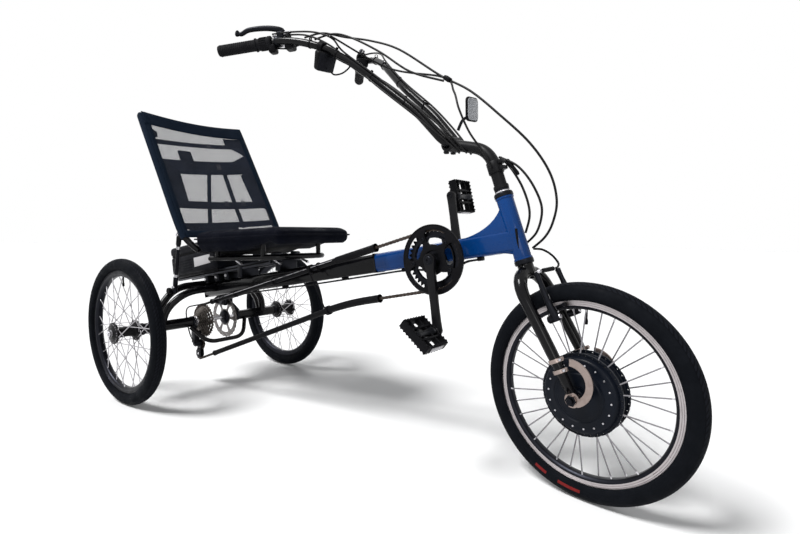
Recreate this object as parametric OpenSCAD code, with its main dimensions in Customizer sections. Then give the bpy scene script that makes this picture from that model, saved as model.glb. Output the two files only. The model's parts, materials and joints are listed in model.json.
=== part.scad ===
// Recumbent delta trike: one steered front wheel with a hub motor, two rear
// wheels on a cross axle, a seat over a sloping boom and long swept-back bars.
// Drawn in millimetres: +X forward, +Y to the rider's left, +Z up, ground at 0.

/* [Wheels] */
// Distance from the rear axle to the front axle
wheelbase = 1447; // [1300:1:1600]
// Distance between the centre planes of the rear wheels
track = 688; // [640:1:800]
// Outer radius of all three tyres
tyre_r = 250; // [230:1:300]
// Width of the tyres
tyre_w = 47; // [38:1:54]
// Width of the rims over the brake tracks
rim_w = 25; // [20:0.5:30]
// Depth of the rims from edge to inner face
rim_depth = 21; // [16:1:26]
// Diameter of the spokes
spoke_d = 2.4; // [1.8:0.1:3]
// Number of spokes in a wheel
spoke_count = 36; // [28:4:36]

/* [Boom] */
// Height of the boom tube
boom_h = 54; // [46:1:62]
// Width of the boom tube
boom_w = 40; // [34:1:48]
// Slope of the boom
boom_slope = 9.9; // [6:0.1:13]
// Height of the boom's centre line above the rear axle
boom_rise = 115; // [105:1:135]
// Where the painted front part of the boom starts, ahead of the rear axle
boom_joint_x = 838; // [700:1:900]

/* [Steering] */
// Angle of the head tube from the ground
head_angle = 70; // [66:0.5:74]
// How far the steering axis meets the ground ahead of the front axle
trail = 38; // [25:1:60]
// Angle that the wheel is turned to as it stands, negative to the right
steer_rest = -8.4; // [-20:0.1:20]
// Outer diameter of the head tube
head_d = 42; // [38:1:46]
// Length of the head tube
head_len = 159; // [140:1:180]
// Diameter of the stem's upright
stem_d = 32; // [28:1:36]
// Diameter of the handlebar
bar_d = 22.2; // [20:0.1:26]
// Diameter of the grips
grip_d = 34; // [30:1:38]

/* [Drive] */
// Length of the crank arms between centres
crank_len = 178; // [150:1:180]
// Angle of the cranks from upright
crank_angle = 13; // [-90:1:90]
// Radius of the chainring
ring_r = 73; // [66:1:84]
// Radius of the chain guard
guard_r = 90; // [86:1:100]
// Side of the frame that the chain runs on, to the right of the middle
chain_y = 50; // [46:1:56]
// Diameter of the axle tubes
axle_tube_d = 38; // [34:1:44]
// Diameter of the driving shaft
shaft_d = 15; // [12:1:17]
// Diameter of the brake rotor
rotor_d = 160; // [140:1:180]

/* [Seat] */
// Width of the back rest
back_w = 440; // [380:1:470]
// Length of the back rest
back_len = 560; // [480:1:600]
// Angle of the back rest from upright
back_angle = 31.5; // [20:0.5:45]
// Length of the seat pad
pad_len = 406; // [370:1:450]
// Width of the seat pad at the rear
pad_w = 400; // [340:1:440]
// Thickness of the seat pad
pad_h = 44; // [36:1:60]
// Diameter of the seat tubes
seat_tube_d = 22; // [19:1:26]

/* [Battery] */
// Length of the battery box
battery_len = 310; // [260:1:330]
// Width of the battery box
battery_w = 130; // [100:1:150]
// Height of the battery box
battery_h = 116; // [90:1:124]

/* [Hidden] */
$fn = 48;

// Middle of the whole trike's length, ahead of the rear axle
centre_x = 722;
axle_z = tyre_r;
bearing_gap = 0.05;
body_gap = 0.6;

// Steering axis
steer_foot = [wheelbase + trail, 0, 0];
steer_axis = [-cos(head_angle), 0, sin(head_angle)];
function on_axis(z) = steer_foot + steer_axis * (z / steer_axis[2]);
head_low_z = 541;
head_low = on_axis(head_low_z);
head_high = head_low + steer_axis * head_len;

// Boom centre line
function boom_z(x) = axle_z + boom_rise + x * tan(boom_slope);
boom_tail_x = -34;
boom_nose_x = wheelbase - 168;

// Cranks
crank_x = wheelbase - 381;
crank_z = axle_z + 283;
pedal_y = 92;

// ---------------------------------------------------------------- helpers

function unit(v) = v / norm(v);
function flip(p) = [p[0], -p[1], p[2]];

// Corner b of the path a-b-c rounded off over the length r each way
function corner(a, b, c, r, n) =
    let (p = b + unit(a - b) * min(r, norm(a - b) / 2), q = b + unit(c - b) * min(r, norm(c - b) / 2))
    [for (i = [0:n]) let (t = i / n) (1 - t) * (1 - t) * p + 2 * t * (1 - t) * b + t * t * q];

// Path through the points with every inner corner rounded
function bent(pts, r, n = 4) = concat(
    [pts[0]],
    [for (i = [1:len(pts) - 2]) each corner(pts[i - 1], pts[i], pts[i + 1], r, n)],
    [pts[len(pts) - 1]]);

function heading(p, i) = unit(p[min(i + 1, len(p) - 1)] - p[max(i - 1, 0)]);

// Normals carried along a path without twist
function carried(p, i, n) =
    let (t = heading(p, i), m = unit(n - (n * t) * t))
    i == len(p) - 1 ? [m] : concat([m], carried(p, i + 1, m));

// Rings of points round a path; r may be a list with one value a point
function rings(path, r, sides) =
    let (t0 = heading(path, 0), start = unit(cross(t0, abs(t0[2]) > 0.8 ? [0, 1, 0] : [0, 0, 1])),
        normals = carried(path, 0, start))
    [for (i = [0:len(path) - 1])
        let (n = normals[i], b = cross(heading(path, i), n), q = is_list(r) ? r[i] : r)
        for (k = [0:sides - 1]) path[i] + q * (cos(k * 360 / sides) * n + sin(k * 360 / sides) * b)];

// Quads of the wall between the rings, from point number first on
function wall(count, sides, first = 0) = [for (i = [0:count - 2], k = [0:sides - 1])
    let (a = first + i * sides + k, b = first + i * sides + (k + 1) % sides) [a, a + sides, b + sides, b]];
function turned(face) = [for (i = [len(face) - 1:-1:0]) face[i]];

// Round bar along a path
module sweep(path, r, sides = 12) {
    count = len(path);
    polyhedron(rings(path, r, sides), concat(
        [[for (k = [0:sides - 1]) k]],
        wall(count, sides),
        [[for (k = [sides - 1:-1:0]) (count - 1) * sides + k]]), convexity = 6);
}

// Open pipe along a path
module pipe(path, r, bore, sides = 12) {
    count = len(path);
    inner = count * sides;
    end = (count - 1) * sides;
    polyhedron(concat(rings(path, r, sides), rings(path, bore, sides)), concat(
        wall(count, sides),
        [for (face = wall(count, sides, inner)) turned(face)],
        [for (k = [0:sides - 1]) let (m = (k + 1) % sides) each
            [[k, m, inner + m, inner + k], [end + m, end + k, inner + end + k, inner + end + m]]]), convexity = 6);
}

// Straight round bar between two points
module rod(a, b, r) {
    d = b - a;
    translate(a) rotate([0, acos(d[2] / norm(d)), atan2(d[1], d[0])]) cylinder(h = norm(d), r = r);
}

// Cylinder along Y, centred on the point
module across(p, r, length) translate(p) rotate([90, 0, 0]) cylinder(h = length, r = r, center = true);

// Outline of a rectangle with round corners, centred
function round_rect(w, h, r, n = 4) = [for (q = [0:3], i = [0:n])
    let (sx = q == 0 || q == 3 ? 1 : -1, sy = q < 2 ? 1 : -1, a = q * 90 + i * 90 / n)
    [sx * (w / 2 - r) + r * cos(a), sy * (h / 2 - r) + r * sin(a)]];

// Block with rounded long edges, its length along X, centred
module bar_block(length, w, h, r) rotate([90, 0, 90])
    linear_extrude(length, center = true) polygon(round_rect(w, h, r));

// Pieces drawn from the rear axle stand in the trike's own frame
module placed() translate([-centre_x, 0, 0]) children();

// Pieces drawn with the wheel straight are turned with the steering
module steered() placed() translate(steer_foot) rotate(steer_rest, v = steer_axis)
    translate(-steer_foot) children();

module sloped(x, up = 0) translate([x, 0, boom_z(x)]) rotate([0, -boom_slope, 0])
    translate([0, 0, up]) children();

// ---------------------------------------------------------------- frame

module boom_length(x0, x1) {
    length = (x1 - x0) / cos(boom_slope);
    sloped((x0 + x1) / 2) bar_block(length, boom_w, boom_h, 12);
}

gusset_w = 32;
gusset_back_x = crank_x + 44;

module front_boom() placed() color("#1450c0") {
    difference() {
        union() {
            boom_length(boom_joint_x, boom_nose_x);
            rod(head_low, head_high, head_d / 2);
            gusset();
        }
        across([crank_x, 0, crank_z], bb_shell_r, boom_w + 2);
    }
}

// Web that curves from the boom's top up the back of the head tube
module gusset() {
    low = [gusset_back_x, boom_z(gusset_back_x) + boom_h / 2 - 4];
    bend = [head_low[0] - 78, boom_z(head_low[0] - 78) + boom_h / 2 + 4];
    top = on_axis(head_low_z + 124) - [12, 0, 0];
    back = [for (i = [0:8]) let (t = i / 8)
        (1 - t) * (1 - t) * low + 2 * t * (1 - t) * bend + t * t * [top[0], top[2]]];
    nose = on_axis(head_low_z + 12);
    rotate([90, 0, 0]) linear_extrude(gusset_w, center = true)
        polygon(concat([[low[0], low[1] - 20]], back, [[top[0] + 8, top[2]], [nose[0], nose[2]]]));
}

module rear_boom() placed() color("#18181a") boom_length(boom_tail_x, boom_joint_x);

hoop_r = 13;
hoop_side_y = track / 2 - 118;

// Path of one hoop, from the right axle tube over the top to the left one
function hoop_path(x_top, x_end, top_z, side) =
    let (right = [
        [x_end, -side, axle_z + 11],
        [x_end + (x_top - x_end) * 0.4, -side + 14, axle_z + 70],
        [x_top, -side + 78, top_z - 4],
        [x_top, -40, top_z]])
    concat(right, [for (i = [3:-1:0]) flip(right[i])]);

module rear_hoops() placed() color("#18181a") {
    foot_x = hoop_r + 0.5;
    sweep(bent(hoop_path(-20, -foot_x, axle_z + 138, hoop_side_y), 70), hoop_r, 14);
    sweep(bent(hoop_path(42, foot_x, axle_z + 126, hoop_side_y - 6), 80), hoop_r, 14);
    cradle();
}

// Tube that joins the two axle tubes, under the brake rotor and ahead of the derailleur
cradle_r = 8;
module cradle() difference() {
    sweep(bent([[8, 132, axle_z - 6], [50, 96, axle_z - 78], [50, -62, axle_z - 78],
        [8, -118, axle_z - 6]], 40), cradle_r, 12);
    for (s = [-1, 1]) across([0, s * 150, axle_z], axle_tube_d / 2, 120);
}

tube_inner_y = 92;
tube_outer_y = track / 2 - 52;
hub_outer_y = track / 2 + 48;
axle_end_y = track / 2 + 56;

module axle_tubes() placed() color("#18181a") {
    for (s = [-1, 1]) difference() {
        across([0, s * (tube_inner_y + tube_outer_y) / 2, axle_z], axle_tube_d / 2,
            tube_outer_y - tube_inner_y);
        if (s < 0)
            across([0, -200, axle_z], shaft_d / 2 + bearing_gap, 400);
        else
            across([0, 100, axle_z], shaft_d / 2 + bearing_gap, 60);
    }
    across([0, (tube_outer_y + axle_end_y) / 2 - 5, axle_z], shaft_d / 2, axle_end_y - tube_outer_y - 10);
    across([0, axle_end_y - 10, axle_z], 5, 20);
}

module headset() placed() color("#101012") {
    for (end = [[-12, 0], [head_len, 12]])
        rod(head_low + steer_axis * end[0], head_low + steer_axis * (end[0] + 12), head_d / 2 + 2.5);
}

bb_shell_r = 20;
bb_w = 68;
module bottom_bracket() placed() color("#18181a") difference() {
    across([crank_x, 0, crank_z], bb_shell_r, bb_w);
    across([crank_x, 0, crank_z], spindle_r + bearing_gap, bb_w + 2);
}

// ---------------------------------------------------------------- seat

// Foot of the back rest and the seat plane
seat_x = 160;
seat_z = axle_z + 298;
pad_slope = 3.2;
back_dir = [-sin(back_angle), 0, cos(back_angle)];
back_out = [-cos(back_angle), 0, -sin(back_angle)];

// Point on the back rest's tubes: up from its foot, sideways, and behind the mesh
function on_back(up, y, behind = 0) = [seat_x, y, seat_z] + back_dir * up + back_out * behind;

module seat_pad() placed() color("#101014") translate([seat_x + 14, 0, seat_z]) rotate([0, -pad_slope, 0])
{
    linear_extrude(pad_h) polygon(concat(
        [for (a = [-80:20:0]) [pad_len - 50 + 50 * cos(a), -pad_w / 2 + 90 + 50 * sin(a)]],
        [for (a = [0:20:80]) [pad_len - 50 + 50 * cos(a), pad_w / 2 - 90 + 50 * sin(a)]],
        [[150, pad_w / 2], [20, pad_w / 2 - 4], [0, pad_w / 2 - 24]],
        [[0, -pad_w / 2 + 24], [20, -pad_w / 2 + 4], [150, -pad_w / 2]]));
    rotate([90, 0, 0]) linear_extrude(2 * base_y - 30, center = true)
        polygon([[14, 2], [14, -32], [34, -40], [150, -40], [260, -10], [270, 2]]);
}

base_y = 120;
post_x = [60, 270];
function base_z(x) = seat_z - 50 + tan(pad_slope) * x;
module seat_base_frame() placed() color("#101012") {
    front_x = seat_x + pad_len - 50;
    side = [[seat_x + 6, -base_y, base_z(6)], [front_x - 40, -base_y, base_z(front_x - 40 - seat_x)],
        [front_x, -base_y + 34, base_z(front_x - seat_x)]];
    sweep(bent(concat(side, [for (i = [2:-1:0]) flip(side[i])]), 26, 3), seat_tube_d / 2 - 2, 12);
    for (x = post_x) across([seat_x + x, 0, base_z(x)], 8, 2 * base_y);
    for (x = [50, 300], y = [-base_y, base_y])
        rod([seat_x + x, y, base_z(x)], [seat_x + x, y, base_z(x) + 54], 8);
}

module seat_back_frame() placed() color("#101012") {
    y = back_w / 2 - seat_tube_d / 2;
    right = [on_back(-20, -y + 40), on_back(20, -y + 8), on_back(90, -y), on_back(back_len - 10, -y),
        on_back(back_len - 10, -y + 60, 12)];
    hoop = bent(concat(right, [for (i = [4:-1:0]) flip(right[i])]), 30, 3);
    sweep(hoop, seat_tube_d / 2, 12);
    for (up = [128, 213, 368, 453]) rod(on_back(up, -y, 6), on_back(up, y, 6), 7);
    for (y2 = [-40, 60]) rod(on_back(128, y2, 8), on_back(368, y2 * 0.9, 8), 6);
    rod(on_back(-20, -y + 40), on_back(-20, y - 40), seat_tube_d / 2);
}

mesh_t = 4;
module seat_back_mesh() placed() color("#1a2740") translate([seat_x, 0, seat_z]) rotate([0, -back_angle, 0])
    translate([seat_tube_d / 2, -back_w / 2, 30]) cube([mesh_t, back_w, back_len - 42]);

module seat_struts() placed() color("#18181a") for (s = [-1, 1]) {
    low = [14, s * 168, axle_z + 140];
    high = on_back(51, s * (back_w / 2 - 12), 16);
    rod(low, high, 5);
    rod(low - [0, 0, 18], low + [0, 0, 6], 8);
}

rail_h = 18;
clamp_h = 27;
rail_back_x = -190;
rail_front_x = 400;
module seat_rail() placed() color("#3a3a3e") {
    for (s = [-1, 1]) sloped((rail_back_x + rail_front_x) / 2, boom_h / 2 + clamp_h + rail_h / 2)
        translate([0, s * 30, 0]) bar_block((rail_front_x - rail_back_x) / cos(boom_slope), 12, rail_h, 3);
    for (x = [10, 80, 142]) sloped(x, boom_h / 2 + clamp_h / 2) bar_block(24, 74, clamp_h, 3);
    for (x = post_x) {
        low = boom_z(seat_x + x) + boom_h / 2 - 2;
        translate([seat_x + x, 0, (low + base_z(x)) / 2]) cube([24, 78, base_z(x) - low], center = true);
    }
}

module battery_box() placed() color("#141416")
    sloped(-25, boom_h / 2 + clamp_h + rail_h + battery_h / 2) bar_block(battery_len, battery_w, battery_h, 14);

// ---------------------------------------------------------------- chain

chain_w = 7;
chain_h = 8;
link_gap = 0.5;
guide_pulley = [-16, axle_z - 92];
low_pulley = [-24, axle_z - 134];
pulley_r = 15;
sprocket_radii = [62, 53, 46, 40, 34, 30, 26, 22];
sprocket_step = 4.8;

// Wide bend that the lower tube gives the chain
bend_at = [crank_x - 295, axle_z + 139];
bend_heading = 15.5;
bend_r = 1200;

// Wheels that the chain passes, as centre, radius of its middle and turning
chain_wheels = [
    [[crank_x, crank_z], ring_r + chain_h / 2 + link_gap, 1],
    [[0, axle_z], sprocket_radii[1] + chain_h / 2 + link_gap, 1],
    [guide_pulley, pulley_r + chain_h / 2 + link_gap, -1],
    [low_pulley, pulley_r + chain_h / 2 + link_gap, 1],
    [bend_at + bend_r * [sin(bend_heading), -cos(bend_heading)], bend_r, -1],
];

// Heading of the straight run that leaves wheel a for wheel b, moved sideways
function run_angle(a, b, side) =
    let (d = b[0] - a[0])
    atan2(d[1], d[0]) + asin(((a[2] * a[1] + side) - (b[2] * b[1] + side)) / norm(d));

function turn_up(from, to) = to < from ? to + 360 : to;

// Path round wheel i, at a distance to the outer side of the middle
function wrap(wheels, i, side) =
    let (w = wheels[i], n = len(wheels),
        a_in = run_angle(wheels[(i + n - 1) % n], w, side), a_out = run_angle(w, wheels[(i + 1) % n], side),
        s = w[2], from = a_in - 90 * s, to0 = a_out - 90 * s,
        sweep_angle = s > 0 ? turn_up(from, to0) - from : to0 - turn_up(to0, from),
        steps = max(4, ceil(abs(sweep_angle) / 12)))
    [for (k = [0:steps]) w[0] + (w[1] + s * side) * [cos(from + k * sweep_angle / steps),
        sin(from + k * sweep_angle / steps)]];

// Closed path round all the wheels
function belt(wheels, side) = [for (i = [0:len(wheels) - 1]) each wrap(wheels, i, side)];

module chain() placed() color("#8a7a62") translate([0, -chain_y, 0]) rotate([90, 0, 0])
    linear_extrude(chain_w, center = true) difference() {
        polygon(belt(chain_wheels, chain_h / 2));
        polygon(belt(chain_wheels, -chain_h / 2));
    }

// Paths of the two tubes round the chain, in the chain's plane
function last(list) = list[len(list) - 1];
function between(a, b, d) = a + unit(b - a) * d;
top_from = last(wrap(chain_wheels, 0, 0));
top_to = wrap(chain_wheels, 1, 0)[0];
low_from = last(wrap(chain_wheels, 3, 0));
low_bend = wrap(chain_wheels, 4, 0);
low_to = wrap(chain_wheels, 0, 0)[0];
upper_tube = [for (d = [182, 1020]) between(top_from, top_to, d)];
lower_tube = concat([between(low_from, low_bend[0], 100)], low_bend, [between(last(low_bend), low_to, 42)]);
function on_chain(p) = [p[0], -chain_y, p[1]];

tube_r = 9;
sleeve_r = 12;
tube_bore_r = 6.6;
// Each tube is plain behind and thickens to a sleeve at its front end
module chain_tubes() placed() color("#1c1c1e") {
    upper = [upper_tube[1], between(upper_tube[0], upper_tube[1], 163),
        between(upper_tube[0], upper_tube[1], 160), upper_tube[0]];
    pipe([for (p = upper) on_chain(p)], [tube_r, tube_r, sleeve_r, sleeve_r], tube_bore_r);
    lower = concat([lower_tube[0], lower_tube[1], between(lower_tube[1], lower_tube[2], 25),
        between(lower_tube[1], lower_tube[2], 28)], [for (i = [2:len(lower_tube) - 1]) lower_tube[i]]);
    pipe([for (p = lower) on_chain(p)], [for (i = [0:len(lower) - 1]) i < 3 ? tube_r : sleeve_r], tube_bore_r);
}

// Wire that holds the lower tube up to the upper one
module chain_hanger() placed() color("#808084") {
    top = on_chain(between(top_to, top_from, 646));
    low = on_chain(between(low_bend[0], low_bend[1], 14));
    side = [0, -tube_r - 3, 0];
    rod(top + side, low + side, 2);
    for (end = [[top, top_to - top_from], [low, low_bend[1] - low_bend[0]]]) translate(end[0])
        rotate([0, 90 - atan2(end[1][1], end[1][0]), 0]) difference() {
            cylinder(h = 12, r = tube_r + 5, center = true);
            cylinder(h = 14, r = tube_r + body_gap, center = true);
        }
}

module derailleur() placed() color("#1c1c1e") translate([0, -chain_y, 0]) {
    for (s = [-1, 1]) translate([0, s * 6.5, 0]) rotate([90, 0, 0]) hull()
        for (p = [guide_pulley, low_pulley]) translate([p[0], p[1], 0])
            cylinder(h = 2, r = pulley_r + 2, center = true, $fn = 32);
    for (p = [guide_pulley, low_pulley]) {
        across([p[0], 0, p[1]], pulley_r - 1, 3);
        across([p[0], 0, p[1]], 4, 14);
    }
    translate([guide_pulley[0] - 8, -22, guide_pulley[1] + 14]) rotate([0, 20, 0]) cube([44, 24, 26], center = true);
    translate([-8, -38.5, axle_z - 42]) cube([24, 10, 66], center = true);
}

module rear_brake_caliper() placed() color("#202024") translate([0, 46, axle_z + 70]) {
    difference() {
        bar_block(62, 40, 40, 8);
        translate([0, 0, -18]) cube([80, 5, 66], center = true);
    }
    rod([10, 14, -10], [6, 58, -52], 7);
}

module boom_cables() placed() color("#0c0c0e") for (s = [-1, 1]) {
    drop = boom_h / 2 + 6;
    sweep(bent([[boom_nose_x - 30, s * 6, boom_z(boom_nose_x - 30) - drop],
        [crank_x + 60, s * 5, boom_z(crank_x + 60) - drop],
        [crank_x + 26, s * 5, crank_z - bb_shell_r - 11],
        [crank_x - 30, s * 5, crank_z - bb_shell_r - 11],
        [crank_x - 110, s * 5, boom_z(crank_x - 110) - drop],
        [560, s * 5, boom_z(560) - drop - 3],
        [200, s * 6, boom_z(200) - drop],
        [80, s * 10, axle_z + 84]], 30, 3), 2.5, 8);
}

// ---------------------------------------------------------------- steering

crown_hole_r = 3;
front_axle_r = 7;
axle_core_r = 5;
fork_leg_y = 60;
dropout_y = 55;
fork_points = [
    on_axis(head_low_z - 30) + [0, 8, 0],
    on_axis(head_low_z - 34) + [0, 34, 0],
    on_axis(head_low_z - 64) + [6, fork_leg_y, 0],
    [wheelbase - 36, fork_leg_y, axle_z + 72],
    [wheelbase - 6, dropout_y + 2, axle_z + 14],
];

module fork() steered() color("#101012") difference() {
    union() {
        rod(head_low - steer_axis * 44, head_low - steer_axis * 12.5, 19);
        for (s = [-1, 1]) {
            leg = bent([for (p = fork_points) s > 0 ? p : flip(p)], 30, 3);
            sweep(leg, [for (i = [0:len(leg) - 1]) 16 - 5.5 * max(0, i - 5) / (len(leg) - 6)], 14);
            translate([wheelbase, s * dropout_y, axle_z]) rotate([90, 0, 0]) hull() {
                cylinder(h = 6, r = 15, center = true, $fn = 32);
                translate([-12, 24, 0]) cylinder(h = 6, r = 9, center = true, $fn = 32);
            }
        }
    }
    for (s = [-1, 1]) across([wheelbase, s * dropout_y, axle_z], front_axle_r, 14);
    translate(on_axis(head_low_z - 28)) rotate([0, 90, 0]) cylinder(h = 80, r = crown_hole_r, center = true);
}
stem_top_z = head_high[2] + 118;
clamp_point = [wheelbase - 375, 0, axle_z + 584];
module stem() steered() color("#161618") {
    neck = on_axis(stem_top_z);
    path = bent([head_high + steer_axis * 12.6, neck, clamp_point + [14, 0, -4]], 46, 6);
    sweep(path, [for (i = [0:len(path) - 1]) stem_d / 2 - 1.5 * i / len(path)], 20);
    difference() {
        across(clamp_point, 20, 46);
        across(clamp_point, bar_d / 2 + 1.6, 48);
    }
}

// Right half of the handlebar from the clamp to the grip
bar_points = [
    clamp_point,
    clamp_point + [0, -30, 0],
    [wheelbase - 467, -36, axle_z + 676],
    [wheelbase - 592, -48, axle_z + 770],
    [wheelbase - 702, -84, axle_z + 856],
    [wheelbase - 768, -118, axle_z + 897],
    [wheelbase - 838, -146, axle_z + 923],
    [wheelbase - 898, -166, axle_z + 936],
    [wheelbase - 938, -180, axle_z + 936],
];
grip_start = last(bar_points);
grip_dir = unit([-0.783, -0.615, -0.093]);
grip_len = 172;
grip_end = grip_start + grip_dir * grip_len;

module handlebar() steered() color("#141416") {
    right = concat([for (i = [1:8]) bar_points[i]], [grip_end - grip_dir * 4]);
    sweep(bent(concat([for (i = [len(right) - 1:-1:0]) right[i]], [for (p = right) flip(p)]), 34, 3),
        bar_d / 2, 14);
}

module grip() difference() {
    rod(grip_start + grip_dir * 6, grip_end, grip_d / 2);
    rod(grip_start, grip_end - grip_dir * 4, bar_d / 2);
}
module right_grip() steered() color("#202022") grip();
module left_grip() steered() color("#202022") mirror([0, 1, 0]) grip();

lever_tip = grip_end + [44, 36, 52];
perch = grip_start - grip_dir * 22;
lever_arm = bent([perch + [6, 2, 14], perch + [14, 6, 32], (perch + lever_tip) / 2 + [8, 4, 32], lever_tip], 24, 3);
lever_end = [for (d = [15, 12, 5]) between(lever_tip, lever_arm[len(lever_arm) - 2], d)];
module brake_lever() {
    difference() {
        rod(perch - grip_dir * 11, perch + grip_dir * 11, bar_d / 2 + 6);
        rod(perch - grip_dir * 20, perch + grip_dir * 20, bar_d / 2);
    }
    arm = concat([for (i = [0:len(lever_arm) - 2]) lever_arm[i]], lever_end, [lever_tip]);
    sweep(arm, concat([for (i = [0:len(lever_arm) - 2]) 6], [6, 9, 10, 6]), 10);
}
module right_brake_lever() steered() color("#161618") brake_lever();
module left_brake_lever() steered() color("#161618") mirror([0, 1, 0]) brake_lever();

display_point = [wheelbase - 761, -112, axle_z + 862];
module display() steered() color("#121214") {
    translate(display_point) rotate([0, 28, 0]) translate([0, 0, -8]) bar_block(34, 64, 50, 8);
    rod(display_point + [0, 0, 10], bar_points[5], 8);
}

module front_reflector() steered() color("#e0e4e8") {
    point = clamp_point + [60, 0, 80];
    translate(point) rotate([90, 0, 90]) linear_extrude(9) polygon(round_rect(46, 60, 10));
    rod(clamp_point + [22, 0, 40], point + [1, 0, -12], 4);
}

leg_up = unit([fork_points[3][0] - wheelbase, 0, fork_points[3][2] - axle_z]);
leg_front = [leg_up[2], 0, -leg_up[0]];
module front_brake() steered() color("#1c1c1f") for (s = [-1, 1]) {
    axle = [wheelbase, 0, axle_z];
    boss = axle + leg_up * 176 + [0, s * 46, 0];
    low = boss + leg_front * 34;
    high = low + leg_up * 108 + [0, s * 2, 0];
    rod(boss + leg_front * 18, boss + leg_front * 44, 8);
    sweep([low, (low + high) / 2 + [0, s * 4, 0], high], 7, 10);
    pad = axle + leg_up * (bead_r - 15) + leg_front * 30 + [0, s * (rim_w / 2 + 6), 0];
    rod(pad - leg_front * 24, pad + leg_front * 24, 5);
    rod(pad, pad + [0, s * 26, 0], 3);
}

module front_axle() steered() color("#b0b0b4") {
    axle = [wheelbase, 0, axle_z];
    for (s = [-1, 1]) {
        across(axle + [0, s * (motor_half + 17), 0], front_axle_r, 32);
        across(axle + [0, s * (dropout_y + 9), 0], 12, 8);
        torque_arm(s);
    }
    across(axle, axle_core_r, 2 * motor_half + 10);
}

// Curved plate from the axle up to a clamp round the fork leg
module torque_arm(s) translate([0, s * (dropout_y + 5.5), 0]) {
    middle = [wheelbase - 8, 0, axle_z + 36];
    difference() {
        union() {
            intersection() {
                difference() {
                    across(middle, 54, 4);
                    across(middle, 38, 6);
                }
                translate(middle + [30, 0, 4]) cube([60, 8, 106], center = true);
            }
            across([wheelbase, 0, axle_z], 17, 4);
        }
        across([wheelbase, 0, axle_z], front_axle_r, 6);
    }
}

// Points measured back from the front axle and up from the axles
function fore(p) = [wheelbase - p[0], p[1], axle_z + p[2]];

bar_runs = [
    [[938, -176, 962], [853, -158, 952], [779, -132, 938], [725, -112, 912], [702, -90, 874],
        [592, -60, 787], [467, -46, 692], [375, -34, 608], [330, -22, 560]],
    [[938, 176, 962], [853, 156, 950], [779, 130, 926], [702, 84, 873],
        [592, 50, 788], [467, 38, 694], [375, 34, 606], [330, 22, 556]],
    [[725, -118, 918], [600, -10, 822], [405, 0, 761], [355, -16, 714], [326, -32, 664], [294, -32, 603],
        [257, -26, 552], [236, -22, 512]],
];
module bar_cables() steered() color("#0c0c0e")
    for (run = bar_runs) sweep(bent([for (p = run) fore(p)], 26, 2), 2.6, 8);

loop_runs = [
    [[731, -60, 920], [634, -40, 898], [542, -20, 857], [415, 0, 768], [316, 0, 711], [227, 0, 639],
        [150, 10, 565], [104, 20, 495], [88, 25, 431], [97, 25, 380], [117, 25, 345], [149, 25, 318]],
    [[699, -60, 918], [602, -40, 861], [505, -20, 792], [405, 4, 752]],
    [[242, 20, 541], [194, 22, 518], [156, 21, 480], [131, 25, 432], [126, 25, 397], [139, 25, 356],
        [166, 25, 329]],
    [[242, 27, 541], [222, 27, 522], [199, 18, 502], [177, 20, 467], [161, 22, 426], [158, 24, 392],
        [169, 25, 354]],
];
module loop_cables() steered() color("#0c0c0e")
    for (run = loop_runs) sweep(bent([for (p = run) fore(p)], 30, 2), 2.8, 8);

// ---------------------------------------------------------------- wheels

bead_r = tyre_r - 39;
rim_in_r = bead_r - rim_depth;

// Wheels are drawn round the Y axis at the origin
module wheel_turned() rotate([90, 0, 0]) rotate_extrude($fn = 96) children();

module tyre() wheel_turned() difference() {
    translate([tyre_r - tyre_w / 2, 0]) circle(d = tyre_w);
    translate([0, -tyre_w]) square([bead_r, 2 * tyre_w]);
}

module rim() wheel_turned() polygon([
    [rim_in_r, -7], [rim_in_r + 5, -rim_w / 2], [bead_r, -rim_w / 2],
    [bead_r, rim_w / 2], [rim_in_r + 5, rim_w / 2], [rim_in_r, 7]]);

// Spokes from a flange at y to the rim, each leaning by an angle round the hub
module spokes(hub_r, flange_y, lean, spread) {
    pitch = 360 / spoke_count;
    for (k = [0:spoke_count - 1]) {
        side = k % 2 == 0 ? 1 : -1;
        way = floor(k / 2) % 2 == 0 ? 1 : -1;
        a = k * pitch;
        b = a + way * lean;
        rod([hub_r * cos(b), side * flange_y + way * spread, hub_r * sin(b)],
            [(rim_in_r + 1) * cos(a), side * 3.5 + way * 1.6, (rim_in_r + 1) * sin(a)], spoke_d / 2);
    }
}

motor_r = 95;
motor_half = 34;
motor_flange_y = 17;
module front_wheel_at() steered() translate([wheelbase, 0, axle_z]) children();
module front_tyre() front_wheel_at() color("#1a1a1c") tyre();
module front_rim() front_wheel_at() color("#b8b8bc") rim();
module front_spokes() front_wheel_at() color("#8c8c90") spokes(motor_r - 3, motor_flange_y, 3, 0.4);
module hub_motor() front_wheel_at() color("#121214") wheel_turned() polygon([
    [axle_core_r + bearing_gap, -motor_half], [56, -motor_half], [84, -27], [86, -21], [motor_r, -20],
    [motor_r, -14], [88, -13], [88, 13], [motor_r, 14], [motor_r, 20], [86, 21], [84, 27], [56, motor_half],
    [axle_core_r + bearing_gap, motor_half]]);

hub_flange_y = 36;
hub_flange_r = 36;
module rear_wheel_at(s) placed() translate([0, s * track / 2, axle_z]) children();
module right_tyre() rear_wheel_at(-1) color("#1a1a1c") tyre();
module right_rim() rear_wheel_at(-1) color("#151517") rim();
module right_spokes() rear_wheel_at(-1) color("#b0b0b4") spokes(30, hub_flange_y, 62, 2);
module right_hub() rear_wheel_at(-1) color("#151517") hub(shaft_d / 2);
module left_tyre() rear_wheel_at(1) color("#1a1a1c") tyre();
module left_rim() rear_wheel_at(1) color("#151517") rim();
module left_spokes() rear_wheel_at(1) color("#b0b0b4") spokes(30, hub_flange_y, 62, 2);
module left_hub() rear_wheel_at(1) color("#151517") hub(shaft_d / 2 + bearing_gap);

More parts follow.
